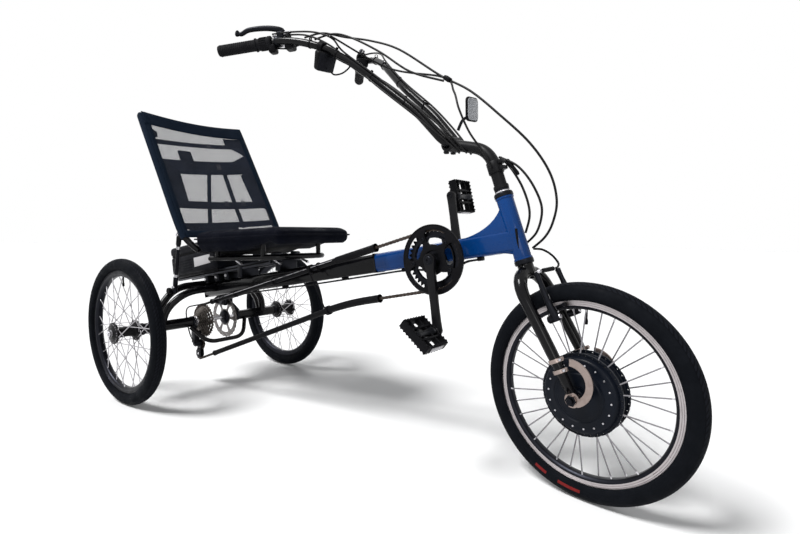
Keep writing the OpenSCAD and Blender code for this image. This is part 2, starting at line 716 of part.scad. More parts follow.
module hub(bore_r) wheel_turned() polygon([
    [bore_r, -44], [20, -44], [hub_flange_r, -hub_flange_y - 3], [hub_flange_r, -hub_flange_y + 3],
    [18, -hub_flange_y + 6], [18, hub_flange_y - 6], [hub_flange_r, hub_flange_y - 3],
    [hub_flange_r, hub_flange_y + 3], [20, 44], [bore_r, 44]]);

module drive_shaft() placed() color("#a0a0a4") {
    across([0, (120 - axle_end_y + 10) / 2, axle_z], shaft_d / 2, 120 + axle_end_y - 10);
    across([0, -axle_end_y + 10, axle_z], 5, 20);
}

module brake_rotor() placed() color("#c0c0c4") difference() {
    union() {
        across([0, 46, axle_z], rotor_d / 2, 2);
        across([0, 46, axle_z], 27, 22);
    }
    across([0, 46, axle_z], shaft_d / 2, 40);
    for (a = [0:45:359]) translate([50 * cos(a), 46, axle_z + 50 * sin(a)]) rotate([90, 0, 0])
        cylinder(h = 6, r = 12, center = true);
}

module cassette() placed() color("#9a8c70") difference() {
    union() {
        for (i = [0:len(sprocket_radii) - 1])
            across([0, -chain_y + sprocket_step * (1 - i), axle_z], sprocket_radii[i], 2);
        across([0, -chain_y - sprocket_step * 2.5, axle_z], 19, sprocket_step * 8.4);
    }
    across([0, -chain_y - sprocket_step * 2.5, axle_z], shaft_d / 2 + bearing_gap, 80);
}

// ---------------------------------------------------------------- cranks

spindle_r = 8.5;
module crank_frame() placed() translate([crank_x, 0, crank_z]) rotate([0, -crank_angle, 0]) children();

// Ring, carrier and guard turned as one piece, then the guard's windows cut
module chainring() crank_frame() color("#161618") difference() {
    wheel_turned() translate([0, chain_y]) polygon([
        [spindle_r, -4], [22, -4], [22, 0], [ring_r - 14, 0], [ring_r - 14, -1.5], [ring_r, -1.5],
        [ring_r, 1.5], [ring_r - 9, 1.5], [ring_r - 9, 5], [guard_r, 6], [guard_r, 9.5], [24, 9.5],
        [24, 15], [spindle_r, 15]]);
    for (k = [0:4]) rotate([0, k * 72 + 36, 0]) translate([0, -chain_y, 42]) rotate([90, 0, 0])
        cylinder(h = 40, r = 13, center = true);
}

pedal_bore_r = 7;

// Arm from the spindle to the pedal, pointing down for the right side
module crank_arm(y0, y1, side) difference() {
    hull() {
        across([0, y0, 0], 17, 14, $fn = 32);
        across([0, y1, -crank_len], 13, 13, $fn = 32);
    }
    across([0, side * 100, -crank_len], pedal_bore_r, 60);
}

arm_y = chain_y + 22;
module right_crank() crank_frame() color("#161618") {
    crank_arm(-arm_y, -pedal_y, -1);
    across([0, 0, 0], spindle_r, 2 * arm_y);
}
module left_crank() crank_frame() color("#161618") rotate([0, 180, 0]) difference() {
    crank_arm(arm_y, pedal_y, 1);
    across([0, arm_y, 0], spindle_r, 30);
}

module pedal(s) color("#141416") {
    across([0, s * 42, 0], pedal_bore_r - bearing_gap, 108);
    for (y = [12, 50, 92]) translate([0, s * y, 0]) cube([96, 8, 26], center = true);
    for (x = [-44, -17, 17, 44]) translate([x, s * 52, 0]) cube([8, 84, 24], center = true);
}
module pedal_at(s, tilt) crank_frame() rotate([0, s < 0 ? 0 : 180, 0]) translate([0, 0, -crank_len])
    translate([0, s * (pedal_y + 8), 0]) rotate([0, tilt, 0]) children();
module right_pedal() pedal_at(-1, 51) pedal(-1);
module left_pedal() pedal_at(1, 89) pedal(1);

// ---------------------------------------------------------------- nodes

front_boom();
rear_boom();
rear_hoops();
axle_tubes();
headset();
bottom_bracket();
seat_base_frame();
seat_pad();
seat_back_frame();
seat_back_mesh();
seat_struts();
seat_rail();
battery_box();
chain();
chain_tubes();
chain_hanger();
derailleur();
rear_brake_caliper();
boom_cables();
fork();
stem();
handlebar();
right_grip();
left_grip();
right_brake_lever();
left_brake_lever();
display();
front_reflector();
front_brake();
front_axle();
bar_cables();
loop_cables();
front_tyre();
front_rim();
front_spokes();
hub_motor();
right_tyre();
right_rim();
right_spokes();
right_hub();
drive_shaft();
brake_rotor();
left_tyre();
left_rim();
left_spokes();
left_hub();
cassette();
chainring();
right_crank();
left_crank();
right_pedal();
left_pedal();
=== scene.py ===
"""Detailed pieces and finishes for a recumbent delta trike, on its fixed CAD frame."""
import json
from math import acos, asin, atan2, ceil, cos, hypot, pi, radians, sin, tan

import bpy
from bpy.props import FloatProperty, FloatVectorProperty, IntProperty, PointerProperty
from mathutils import Matrix, Vector


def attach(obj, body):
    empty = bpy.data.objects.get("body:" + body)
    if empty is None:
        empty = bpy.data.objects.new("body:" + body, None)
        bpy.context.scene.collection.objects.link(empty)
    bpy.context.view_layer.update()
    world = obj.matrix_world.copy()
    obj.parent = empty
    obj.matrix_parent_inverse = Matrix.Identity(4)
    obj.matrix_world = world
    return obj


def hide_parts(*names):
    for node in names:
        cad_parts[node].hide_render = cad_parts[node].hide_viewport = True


bl_info = {
    "name": "Recumbent Trike Detailer",
    "version": (1, 0, 0),
    "blender": (4, 5, 0),
    "location": "3D View > Sidebar > Trike",
    "description": "Adds the detailed pieces and finishes of a recumbent trike to its CAD frame",
    "category": "Object",
}

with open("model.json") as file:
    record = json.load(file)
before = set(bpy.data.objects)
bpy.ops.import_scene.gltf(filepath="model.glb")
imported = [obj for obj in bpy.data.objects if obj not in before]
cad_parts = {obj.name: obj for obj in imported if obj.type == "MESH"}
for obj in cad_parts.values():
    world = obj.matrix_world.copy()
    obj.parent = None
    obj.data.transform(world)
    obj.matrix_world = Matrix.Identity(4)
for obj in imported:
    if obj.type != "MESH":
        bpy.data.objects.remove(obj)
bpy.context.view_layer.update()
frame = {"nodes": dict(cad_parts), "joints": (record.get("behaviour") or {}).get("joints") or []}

MM = 0.001
WHEELBASE, AXLE_Z, HALF_TRACK, CENTRE_X = 1447.0, 250.0, 344.0, 722.0


# ------------------------------------------------------------------ places

def joint(name):
    return next(j for j in frame["joints"] if j["name"] == name)


def shift(x, y, z):
    """Matrix that moves by millimetres."""
    return Matrix.Translation((x * MM, y * MM, z * MM))


def turn(degrees, axis):
    return Matrix.Rotation(radians(degrees), 4, axis)


TRIKE = shift(-CENTRE_X, 0, 0)
STEER_FOOT = Matrix.Translation(joint("steering_turn")["pos_m"])
STEER_AXIS = Vector(joint("steering_turn")["axis"])
STEER_REST = -acos(joint("front_wheel_spin")["axis"][1])
STEERED = STEER_FOOT @ Matrix.Rotation(STEER_REST, 4, STEER_AXIS) @ STEER_FOOT.inverted() @ TRIKE
WHEEL_PLACE = {
    "front": STEERED @ shift(WHEELBASE, 0, AXLE_Z),
    "right": TRIKE @ shift(0, -HALF_TRACK, AXLE_Z),
    "left": TRIKE @ shift(0, HALF_TRACK, AXLE_Z),
}
BACK_ANGLE = 31.5
SEAT_X, SEAT_Z, PAD_SLOPE = 160.0, 548.0, 3.2
SEAT_CLAMPS = (60, 270)
BACK_REST = TRIKE @ shift(SEAT_X, 0, SEAT_Z) @ turn(-BACK_ANGLE, "Y")
SEAT_PLANE = TRIKE @ shift(SEAT_X + 14, 0, SEAT_Z) @ turn(-PAD_SLOPE, "Y")
CRANK_X, CRANK_Z, CRANK_LEN, CRANK_ANGLE = 1066.0, 533.0, 178.0, 13.0
CRANKS = TRIKE @ shift(CRANK_X, 0, CRANK_Z) @ turn(-CRANK_ANGLE, "Y")
BOOM_SLOPE, BOOM_RISE, BOOM_H, BOOM_W = 9.9, 115.0, 54.0, 40.0
CHAIN_Y = 50.0


def boom_z(x):
    """Height of the boom's centre line, x ahead of the rear axle."""
    return AXLE_Z + BOOM_RISE + x * tan(radians(BOOM_SLOPE))


def on_boom(x, up=0.0, y=0.0):
    """Place on the sloping boom, up from its centre line."""
    return TRIKE @ shift(x, 0, boom_z(x)) @ turn(-BOOM_SLOPE, "Y") @ shift(0, y, up)


def steering_line(z):
    """Point on the steering axis at the height z, wheel straight."""
    k = STEER_AXIS
    return Vector((WHEELBASE + 38, 0, 0)) + k * (z / k.z)


HEAD_LOW = steering_line(541)
HEAD_HIGH = HEAD_LOW + STEER_AXIS * 159


def aimed(at, along):
    """Matrix whose Z axis points along a direction, at a point in millimetres."""
    return shift(*at) @ Vector(along).normalized().to_track_quat("Z", "Y").to_matrix().to_4x4()


def on_line(at, along):
    """Matrix for a turned shape, whose own axis is Y, along a direction at a point."""
    return aimed(at, along) @ turn(90, "X")


# ------------------------------------------------------------------ modelling

def deselect():
    if bpy.context.object and bpy.context.object.mode != "OBJECT":
        bpy.ops.object.mode_set(mode="OBJECT")
    bpy.ops.object.select_all(action="DESELECT")


def pick(*objs):
    """Selects only these objects and makes the first one active."""
    deselect()
    for obj in objs:
        obj.select_set(True)
    bpy.context.view_layer.objects.active = objs[0]
    return objs[0]


def edit(obj):
    pick(obj)
    bpy.ops.object.mode_set(mode="EDIT")
    bpy.ops.mesh.select_all(action="SELECT")


def done():
    bpy.ops.object.mode_set(mode="OBJECT")


def close_up(obj, gap=1e-6):
    """Merges doubles and turns the faces outwards."""
    edit(obj)
    bpy.ops.mesh.remove_doubles(threshold=gap)
    bpy.ops.mesh.delete_loose()
    bpy.ops.mesh.select_all(action="SELECT")
    bpy.ops.mesh.normals_make_consistent(inside=False)
    done()
    return obj


def applied(obj, kind, **settings):
    """Adds a modifier and applies it."""
    pick(obj)
    mod = obj.modifiers.new(kind.lower(), kind)
    for key, value in settings.items():
        setattr(mod, key, value)
    bpy.ops.object.modifier_apply(modifier=mod.name)
    return obj


def rounded(obj, width, segments=2, angle=30):
    return applied(obj, "BEVEL", width=width * MM, segments=segments, limit_method="ANGLE",
                   angle_limit=radians(angle), harden_normals=False)


def put(obj, matrix):
    obj.data.transform(matrix)
    return obj


def copy_of(obj, matrix=None):
    other = obj.copy()
    other.data = obj.data.copy()
    bpy.context.scene.collection.objects.link(other)
    if matrix is not None:
        other.data.transform(matrix)
    return other


def joined(objs):
    """One piece made of several shapes, with each shape's own finish."""
    pick(*objs)
    if len(objs) > 1:
        bpy.ops.object.join()
    return bpy.context.view_layer.objects.active


def repeated(obj, places):
    """Copies of a shape at each place, joined; the pattern itself goes."""
    copies = [copy_of(obj, place) for place in places]
    bpy.data.objects.remove(obj)
    return joined(copies)


def finish_of(obj, finish):
    obj.data.materials.clear()
    obj.data.materials.append(FINISH[finish])
    return obj


def spun(profile, steps=64, finish=None):
    """Closed outline of (radius, along) points turned round the Y axis."""
    deselect()
    bpy.ops.mesh.primitive_circle_add(vertices=len(profile), fill_type="NOTHING")
    obj = bpy.context.object
    for v, (r, y) in zip(obj.data.vertices, profile):
        v.co = (r * MM, y * MM, 0)
    edit(obj)
    bpy.ops.mesh.spin(steps=steps, angle=2 * pi, center=(0, 0, 0), axis=(0, 1, 0), use_auto_merge=True)
    done()
    close_up(obj)
    return finish_of(obj, finish) if finish else obj


def pin(radius, length, finish, edge=0.6, steps=16, bore=0.0):
    """Short turned pin with softened ends, centred, along Z."""
    half = length / 2
    outline = [(bore, -half), (radius - edge, -half), (radius, -half + edge), (radius, half - edge),
               (radius - edge, half), (bore, half)]
    return put(spun(outline, steps, finish), turn(90, "X"))


def screw_head(radius, height, finish="bright_steel", socket=0.5, steps=18):
    """Domed cap with a socket, its base on the XY plane, pointing up Z."""
    outline = [(0, 0), (radius, 0), (radius, height * 0.6), (radius * 0.82, height), (radius * socket, height),
               (radius * socket * 0.9, height * 0.45), (0, height * 0.45)]
    obj = spun(outline, steps, finish)
    return put(obj, turn(90, "X"))


def screwed(at, along, *size, **settings):
    """Screw head at a point, facing along a direction."""
    return put(screw_head(*size, **settings), aimed(at, along))


def hex_nut(radius, height, finish="bright_steel", bore=0.45):
    """Six-sided nut with a bore, its base on the XY plane, pointing up Z."""
    outer = [flat_polar(radius, a) for a in range(0, 360, 60)]
    inner = [flat_polar(radius * bore, a) for a in range(0, 360, 30)]
    obj = plate([outer, inner], height, finish, edge=0.5)
    return put(obj, shift(0, 0, height / 2) @ turn(90, "X"))


def clamp_band(bore, radius, half, finish, steps=32, side=1.0, edge=1.4):
    """Band round a tube, along Y, with bevelled outer edges."""
    outline = [(bore, -half), (radius - side, -half), (radius, edge - half), (radius, half - edge),
               (radius - side, half), (bore, half)]
    return spun(outline, steps, finish)


def cable_tie(bore, radius, half, steps):
    """Thin tie round a tube or a cable, along Y."""
    outline = [(bore, -half), (radius, 0.2 - half), (radius, half - 0.2), (bore, half)]
    return spun(outline, steps, "black_plastic")


def plate(outlines, thickness, finish=None, edge=0.4):
    """Flat plate in the XZ plane, centred on Y: outer outlines, with the inner ones as holes."""
    curve = bpy.data.curves.new("plate", "CURVE")
    curve.dimensions, curve.fill_mode = "2D", "BOTH"
    curve.extrude = (thickness / 2 - edge) * MM
    curve.bevel_depth, curve.bevel_resolution, curve.offset = edge * MM, 1, -edge * MM
    for outline in outlines:
        spline = curve.splines.new("POLY")
        spline.points.add(len(outline) - 1)
        for point, (x, z) in zip(spline.points, outline):
            point.co = (x * MM, z * MM, 0, 1)
        spline.use_cyclic_u = True
    obj = bpy.data.objects.new("plate", curve)
    bpy.context.scene.collection.objects.link(obj)
    pick(obj)
    bpy.ops.object.convert(target="MESH")
    obj = bpy.context.object
    obj.data.transform(turn(90, "X"))
    close_up(obj)
    return finish_of(obj, finish) if finish else obj


def tube(points, radius, finish, sides=16, closed=False, caps=True):
    """Round tube along the points; radius may be one value for each point."""
    curve = bpy.data.curves.new("tube", "CURVE")
    curve.dimensions, curve.twist_mode = "3D", "MINIMUM"
    widest = max(radius) if isinstance(radius, (list, tuple)) else radius
    curve.bevel_depth, curve.bevel_resolution = widest * MM, max(0, (sides - 4) // 2)
    curve.use_fill_caps = caps and not closed
    spline = curve.splines.new("POLY")
    spline.points.add(len(points) - 1)
    for i, p in enumerate(points):
        spline.points[i].co = (p[0] * MM, p[1] * MM, p[2] * MM, 1)
        if isinstance(radius, (list, tuple)):
            spline.points[i].radius = radius[i] / widest
    spline.use_cyclic_u = closed
    obj = bpy.data.objects.new("tube", curve)
    bpy.context.scene.collection.objects.link(obj)
    pick(obj)
    bpy.ops.object.convert(target="MESH")
    obj = close_up(bpy.context.object)
    return finish_of(obj, finish)


def block(size, finish, edge=2.0, segments=3, at=(0, 0, 0)):
    """Moulded block with rounded edges, centred."""
    deselect()
    bpy.ops.mesh.primitive_cube_add(size=1)
    obj = bpy.context.object
    obj.data.transform(Matrix.Diagonal((size[0] * MM, size[1] * MM, size[2] * MM, 1)))
    rounded(obj, edge, segments)
    put(obj, shift(*at))
    return finish_of(obj, finish)


def new_uv_map(mesh):
    """The mesh's only UV map, so that its finish reads it."""
    while mesh.uv_layers:
        mesh.uv_layers.remove(mesh.uv_layers[0])
    return mesh.uv_layers.new(name="around").data


def cad_copy(node, finish=None, edge=0.0, segments=2, angle=35):
    """Smoothed copy of a CAD node's shape, with its sharp edges softened."""
    source = frame["nodes"][node]
    obj = source.copy()
    obj.data = source.data.copy()
    obj.parent = None
    for key in list(obj.keys()):
        if key.startswith("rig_"):
            del obj[key]
    bpy.context.scene.collection.objects.link(obj)
    edit(obj)
    bpy.ops.mesh.remove_doubles(threshold=2e-6)
    bpy.ops.mesh.dissolve_limited(angle_limit=radians(0.6))
    done()
    if edge:
        rounded(obj, edge, segments, angle)
    return finish_of(obj, finish or NODE_FINISH[node])


def ready(obj, name, body, replaces=(), smooth=38):
    """Names a piece, smooths it, hands it to its body and hides the CAD nodes that it replaces."""
    obj.name = obj.data.name = name
    pick(obj)
    bpy.ops.object.shade_smooth_by_angle(angle=radians(smooth))
    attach(obj, body)
    if replaces:
        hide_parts(*([replaces] if isinstance(replaces, str) else replaces))
    return obj


def assembled(parts, place, name, body, replaces=(), smooth=38):
    """Joins shapes into one piece, puts it at its place and hands it over."""
    return ready(put(joined(parts), place), name, body, replaces, smooth)


# ------------------------------------------------------------------ paths

def ramp(t):
    """A share kept between 0 and 1."""
    return min(1.0, max(0.0, t))


def corner(a, b, c, r, n):
    p = b + (a - b).normalized() * min(r, (a - b).length / 2)
    q = b + (c - b).normalized() * min(r, (c - b).length / 2)
    return [p.lerp(b, i / n).lerp(b.lerp(q, i / n), i / n) for i in range(n + 1)]


def bent(points, r, n=6):
    """Path through the points with its inner corners rounded."""
    pts = [Vector(p) for p in points]
    path = [pts[0]]
    for i in range(1, len(pts) - 1):
        path += corner(pts[i - 1], pts[i], pts[i + 1], r, n)
    return path + [pts[-1]]


def flowing(points, n=8):
    """Smooth path that passes through every point."""
    pts = [Vector(p) for p in points]
    path = []
    for i in range(len(pts) - 1):
        a, b = pts[max(i - 1, 0)], pts[i]
        c, d = pts[i + 1], pts[min(i + 2, len(pts) - 1)]
        for k in range(n):
            t = k / n
            path.append(0.5 * (2 * b + (c - a) * t + (2 * a - 5 * b + 4 * c - d) * t * t
                               + (3 * b - a - 3 * c + d) * t ** 3))
    return path + [pts[-1]]


def mirrored(points):
    return [Vector((p[0], -p[1], p[2])) for p in points]


def flat_polar(r, degrees):
    """Point of an outline at a radius and an angle."""
    return r * cos(radians(degrees)), r * sin(radians(degrees))


def polar(r, degrees, y=0.0):
    """Point round the Y axis at a radius and an angle."""
    x, z = flat_polar(r, degrees)
    return Vector((x, y, z))


def both_sides(half):
    """Outline with its other half, mirrored."""
    return half + [(x, -y) for x, y in reversed(half)]


def disc(r, n=48, x=0.0, z=0.0):
    return [(x + r * cos(2 * pi * i / n), z + r * sin(2 * pi * i / n)) for i in range(n)]


def sector(r0, r1, a0, a1, n=8, corner_r=5.0):
    """Window between two radii and two angles in degrees, with rounded corners."""
    outline = []
    for r, a_from, a_to in ((r1, a0, a1), (r0, a1, a0)):
        inset = degrees_of(corner_r, r) * (1 if a_to > a_from else -1)
        step = corner_r * (-1 if r == r1 else 1)
        outline.append((r + step, a_from))
        outline += [(r, a_from + inset + (a_to - a_from - 2 * inset) * i / n) for i in range(n + 1)]
        outline.append((r + step, a_to))
    return [flat_polar(r, a) for r, a in outline]


def degrees_of(length, r):
    return length / r * 180 / pi


def toothed(root, tip, teeth, width=0.5):
    """Outline of a chain wheel."""
    outline = []
    for i in range(teeth):
        a = 2 * pi * i / teeth
        for off, r in ((-0.5, root), (-0.5 * width, (root + tip) / 2), (-0.16 * width, tip), (0.16 * width, tip),
                       (0.5 * width, (root + tip) / 2), (0.42, root)):
            b = a + off * 2 * pi / teeth
            outline.append((r * cos(b), r * sin(b)))
    return outline


# ------------------------------------------------------------------ finishes

def linear(r, g, b):
    """Display colour, 0 to 255, as scene colour."""
    def one(c):
        c /= 255
        return c / 12.92 if c <= 0.04045 else ((c + 0.055) / 1.055) ** 2.4
    return (one(r), one(g), one(b), 1.0)


def shade(colour, factor):
    """Darker or lighter version of a scene colour."""
    return tuple(factor * c for c in colour[:3]) + (1,)


class Graph:
    """Node material under construction."""

    def __init__(self, name, metallic=0.0, **fixed):
        self.material = bpy.data.materials.new(name)
        self.material.use_nodes = True
        self.nodes, self.links = self.material.node_tree.nodes, self.material.node_tree.links
        self.shader = self.nodes["Principled BSDF"]
        self.shader.inputs["Metallic"].default_value = metallic
        for key, value in fixed.items():
            self.shader.inputs[key.replace("_", " ")].default_value = value
        self.coords = self.nodes.new("ShaderNodeTexCoord")

    def add(self, kind, *inputs, **settings):
        """Adds a node; inputs are sockets or values in order, None to leave one."""
        node = self.nodes.new(kind)
        for key, value in settings.items():
            setattr(node, key, value)
        for i, value in enumerate(inputs):
            self.feed(value, node.inputs[i])
        return node

    def feed(self, value, socket):
        if isinstance(value, bpy.types.NodeSocket):
            self.links.new(value, socket)
        elif value is not None:
            socket.default_value = value

    def math(self, kind, a, b=None, c=None):
        return self.add("ShaderNodeMath", a, b, c, operation=kind).outputs[0]

    def times(self, a, b):
        return self.math("MULTIPLY", a, b)

    def plus(self, a, b):
        return self.math("ADD", a, b)

    def minus(self, a, b):
        return self.math("SUBTRACT", a, b)

    def most(self, a, b):
        return self.math("MAXIMUM", a, b)

    def above(self, a, limit):
        return self.math("GREATER_THAN", a, limit)

    def below(self, a, limit):
        return self.math("LESS_THAN", a, limit)

    def near(self, a, middle, reach):
        """1 within the reach of a value, 0 elsewhere."""
        return self.math("COMPARE", a, middle, reach)

    def size(self, a):
        return self.math("ABSOLUTE", a)

    def part(self, a):
        """What is left above the whole number."""
        return self.math("FRACT", a)

    def wave(self, a):
        return self.math("SINE", a)

    def place(self, scale=1.0, stretch=(1, 1, 1), uv=False, turned=(0, 0, 0)):
        source = self.coords.outputs["UV" if uv else "Object"]
        size = tuple(scale * s for s in stretch)
        return self.add("ShaderNodeMapping", source, None, tuple(radians(a) for a in turned), size).outputs[0]

    def noise(self, scale, detail=3.0, rough=0.5, stretch=(1, 1, 1), uv=False):
        node = self.add("ShaderNodeTexNoise", self.place(1.0, stretch, uv))
        node.inputs["Scale"].default_value = scale
        node.inputs["Detail"].default_value = detail
        node.inputs["Roughness"].default_value = rough
        return node.outputs[0]

    def ranged(self, value, low, high, from_low=0.3, from_high=0.7):
        node = self.add("ShaderNodeMapRange", value, from_low, from_high, low, high)
        return node.outputs[0]

    def mixed(self, amount, a, b):
        node = self.add("ShaderNodeMix", data_type="RGBA")
        self.feed(amount, node.inputs["Factor"])
        self.feed(a, node.inputs[6])
        self.feed(b, node.inputs[7])
        return node.outputs[2]

    def colour(self, value):
        self.feed(value, self.shader.inputs["Base Color"])
        return self

    def rough(self, low, high, scale=9.0):
        self.feed(self.ranged(self.noise(scale, 4), low, high), self.shader.inputs["Roughness"])
        return self

    def relief(self, height, strength=0.3, distance=0.5):
        node = self.add("ShaderNodeBump", strength, distance * MM)
        self.feed(height, node.inputs["Height"])
        self.feed(node.outputs[0], self.shader.inputs["Normal"])
        return self


def paint(name, base, deep, low, high, coat=0.6):
    """Gloss paint with slight orange peel, dust and colour drift."""
    g = Graph(name, Coat_Weight=coat, Coat_Roughness=0.08)
    g.shader.inputs["Specular IOR Level"].default_value = 0.09
    drift = g.mixed(g.ranged(g.noise(5.0, 5), 0, 1), base, deep)
    dust = g.ranged(g.noise(60.0, 6, 0.7), 0.0, 0.012, 0.52, 0.75)
    g.colour(g.mixed(dust, drift, linear(150, 150, 155)))
    g.rough(low, high, 14).relief(g.noise(420.0, 2), 0.12, 0.3)
    return g.material


def plastic(name, base, worn, low, high, grain=700.0, depth=0.25, specular=0.07):
    """Moulded plastic with a fine grain and paler scuffs."""
    g = Graph(name)
    g.shader.inputs["Specular IOR Level"].default_value = specular
    scuff = g.ranged(g.noise(26.0, 8, 0.72), 0.0, 0.35, 0.56, 0.78)
    g.colour(g.mixed(scuff, g.mixed(g.noise(7.0, 3), base, shade(base, 0.78)), worn))
    g.rough(low, high, 30).relief(g.noise(grain, 3, 0.6), depth, 0.4)
    return g.material


def metal(name, base, stained, low, high, brushed=(1, 1, 1), scale=260.0, depth=0.1, stain=0.5):
    """Bare or anodised metal with brushing and stains."""
    g = Graph(name, metallic=1.0)
    spots = g.ranged(g.noise(34.0, 7, 0.65), 0.0, stain, 0.5, 0.72)
    g.colour(g.mixed(spots, base, stained))
    g.rough(low, high, 45).relief(g.noise(scale, 4, 0.6, brushed), depth, 0.25)
    return g.material


def tyre_rubber(name, colours, stripes):
    """Tyre with a slotted tread, ribbed shoulders, painted shade in its grooves and, where asked for, plain red
    stripes on its side.
    """
    g = Graph(name)
    g.shader.inputs["Specular IOR Level"].default_value = 0.03
    uv = g.add("ShaderNodeSeparateXYZ", g.coords.outputs["UV"])
    around, across = uv.outputs[0], uv.outputs[1]
    away = g.size(g.minus(across, 0.5))
    slots = g.part(g.plus(g.times(around, 118.0), g.times(away, 7.0)))
    slot = g.below(slots, 0.34)
    on_tread = g.times(g.above(away, 0.035), g.below(away, 0.215))
    ring = g.near(away, 0.105, 0.011)
    edge_ring = g.near(away, 0.225, 0.007)
    cut = g.most(g.times(slot, on_tread), g.most(ring, edge_ring))
    side_ribs = g.times(g.wave(g.times(away, 420.0)), g.above(away, 0.36))
    bead = g.near(away, 0.60, 0.012)
    skin = g.plus(g.times(side_ribs, 0.12), g.times(g.noise(900.0, 3), 0.25))
    height = g.minus(g.plus(skin, g.times(bead, 0.6)), cut)
    dusty = g.ranged(g.noise(30.0, 6, 0.7), 0.0, 0.55, 0.45, 0.75)
    rubber = g.mixed(dusty, colours.tyre_rubber, linear(24, 26, 31))
    tread = g.mixed(g.times(on_tread, 0.35), rubber, linear(34, 36, 43))
    # Painted shade: the tread's slots and rings are darkened towards near black, on top of their bump.
    shaded_grooves = g.mixed(g.times(cut, 0.75), tread, linear(5, 5, 7))
    band = g.near(away, 0.525, 0.05)
    striped = g.times(band, g.above(across, 0.5))
    marks = 0.0
    for from_turn, to_turn in stripes:
        part = g.times(g.above(around, from_turn), g.below(around, to_turn))
        marks = g.most(marks, part)
    stripe = g.times(striped, marks)
    g.colour(g.mixed(stripe, shaded_grooves, colours.stripe))
    g.rough(0.5, 0.78, 40).relief(height, 0.6, 1.2)
    return g.material


def seat_cloth(name, base, thread, scale=1.0, weave_depth=0.5):
    """Close woven cloth that doesn't depend on a UV map."""
    g = Graph(name, Sheen_Weight=0.01, Sheen_Roughness=0.5)
    g.shader.inputs["Specular IOR Level"].default_value = 0.03
    place = g.place(1.0, turned=(0, -3.2, 0))
    axes = g.add("ShaderNodeSeparateXYZ", place)
    step = 2 * pi / (0.0016 * scale)
    warp = g.wave(g.times(axes.outputs[0], step))
    weft = g.wave(g.times(axes.outputs[1], step))
    rise = g.wave(g.times(axes.outputs[2], step))
    weave = g.times(g.plus(warp, rise), weft)
    worn = g.ranged(g.noise(9.0, 6, 0.62), 0.0, 0.7, 0.42, 0.72)
    fleck = g.times(g.ranged(weave, 0.0, 0.5, -1, 1.4), 0.8)
    g.colour(g.mixed(fleck, g.mixed(worn, base, shade(base, 1.5)), thread))
    g.rough(0.62, 0.85, 20).relief(g.plus(g.times(weave, 0.5), g.noise(500.0, 3)), weave_depth, 0.5)
    return g.material


def open_mesh(name, thread):
    """Open knitted mesh, seen through between its threads."""
    g = Graph(name, Sheen_Weight=0.05)
    g.shader.inputs["Specular IOR Level"].default_value = 0.15
    uv = g.add("ShaderNodeSeparateXYZ", g.coords.outputs["UV"])
    across = g.part(g.times(uv.outputs[0], 210.0))
    shifted = g.plus(g.times(uv.outputs[1], 250.0),
                     g.times(g.math("FLOOR", g.times(uv.outputs[0], 210.0)), 0.5))
    along = g.part(shifted)
    x = g.size(g.minus(across, 0.5))
    y = g.size(g.minus(along, 0.5))
    r = g.math("SQRT", g.plus(g.times(x, x), g.times(y, y)))
    cloth = g.ranged(r, 0.0, 1.0, 0.325, 0.36)
    g.colour(g.mixed(g.ranged(g.noise(12.0, 4), 0, 1), thread, shade(thread, 1.6)))
    g.rough(0.55, 0.75, 25).relief(r, 0.3, 0.3)
    g.feed(cloth, g.shader.inputs["Alpha"])
    return g.material


def grip_rubber_finish():
    """Soft rubber with a raised check."""
    g = Graph("grip_rubber")
    g.shader.inputs["Specular IOR Level"].default_value = 0.12
    uv = g.add("ShaderNodeSeparateXYZ", g.coords.outputs["UV"])
    checks = g.times(g.wave(g.times(uv.outputs[0], 2 * pi * 26)),
                    g.wave(g.times(uv.outputs[1], 2 * pi * 30)))
    g.colour(g.mixed(g.ranged(g.noise(40.0, 6), 0, 0.6), linear(14, 14, 17), linear(27, 27, 31)))
    g.rough(0.62, 0.82, 30)
    g.relief(g.plus(checks, g.times(g.noise(800.0, 2), 0.4)), 0.5, 0.7)
    return g.material


def lens_finish():
    g = Graph("reflector_lens", Transmission_Weight=0.6, IOR=1.45, Coat_Weight=0.2)
    cells = g.add("ShaderNodeTexVoronoi", g.place(1.0))
    cells.inputs["Scale"].default_value = 420.0
    g.colour(g.mixed(g.ranged(cells.outputs[0], 0, 1, 0.1, 0.6), linear(244, 246, 250), linear(222, 226, 233)))
    g.rough(0.08, 0.2, 30).relief(cells.outputs[0], 0.12, 0.3)
    return g.material


def screen_finish():
    g = Graph("display_screen", Coat_Weight=1.0, Coat_Roughness=0.03)
    g.colour(g.mixed(g.ranged(g.noise(12.0, 2), 0, 1), linear(58, 64, 68), linear(34, 38, 44)))
    g.rough(0.08, 0.16, 20)
    return g.material


FINISH = {}
NODE_FINISH = {node: finish for finish, nodes in {
    "blue_paint": ("front_boom",),
    "black_paint": ("rear_boom", "rear_hoops", "axle_tubes", "seat_base_frame", "seat_back_frame", "fork"),
    "black_metal": ("headset", "bottom_bracket", "seat_struts", "derailleur", "rear_brake_caliper",
                    "right_brake_lever", "left_brake_lever", "front_brake", "right_hub", "left_hub", "chainring"),
    "seat_cover": ("seat_pad",),
    "seat_mesh": ("seat_back_mesh",),
    "dark_alloy": ("seat_rail",),
    "battery_case": ("battery_box",),
    "chain_steel": ("chain",),
    "black_plastic": ("chain_tubes", "chain_hanger", "display", "right_pedal", "left_pedal"),
    "cable_cover": ("boom_cables", "bar_cables", "loop_cables"),
    "black_matte": ("stem", "handlebar", "right_crank", "left_crank"),
    "grip_rubber": ("right_grip", "left_grip"),
    "reflector_lens": ("front_reflector",),
    "bright_steel": ("front_axle", "drive_shaft", "brake_rotor"),
    "tyre": ("front_tyre", "right_tyre", "left_tyre"),
    "silver_rim": ("front_rim",),
    "dark_spokes": ("front_spokes",),
    "motor_case": ("hub_motor",),
    "black_rim": ("right_rim", "left_rim"),
    "spoke_steel": ("right_spokes", "left_spokes"),
    "sprocket_steel": ("cassette",),
}.items() for node in nodes}


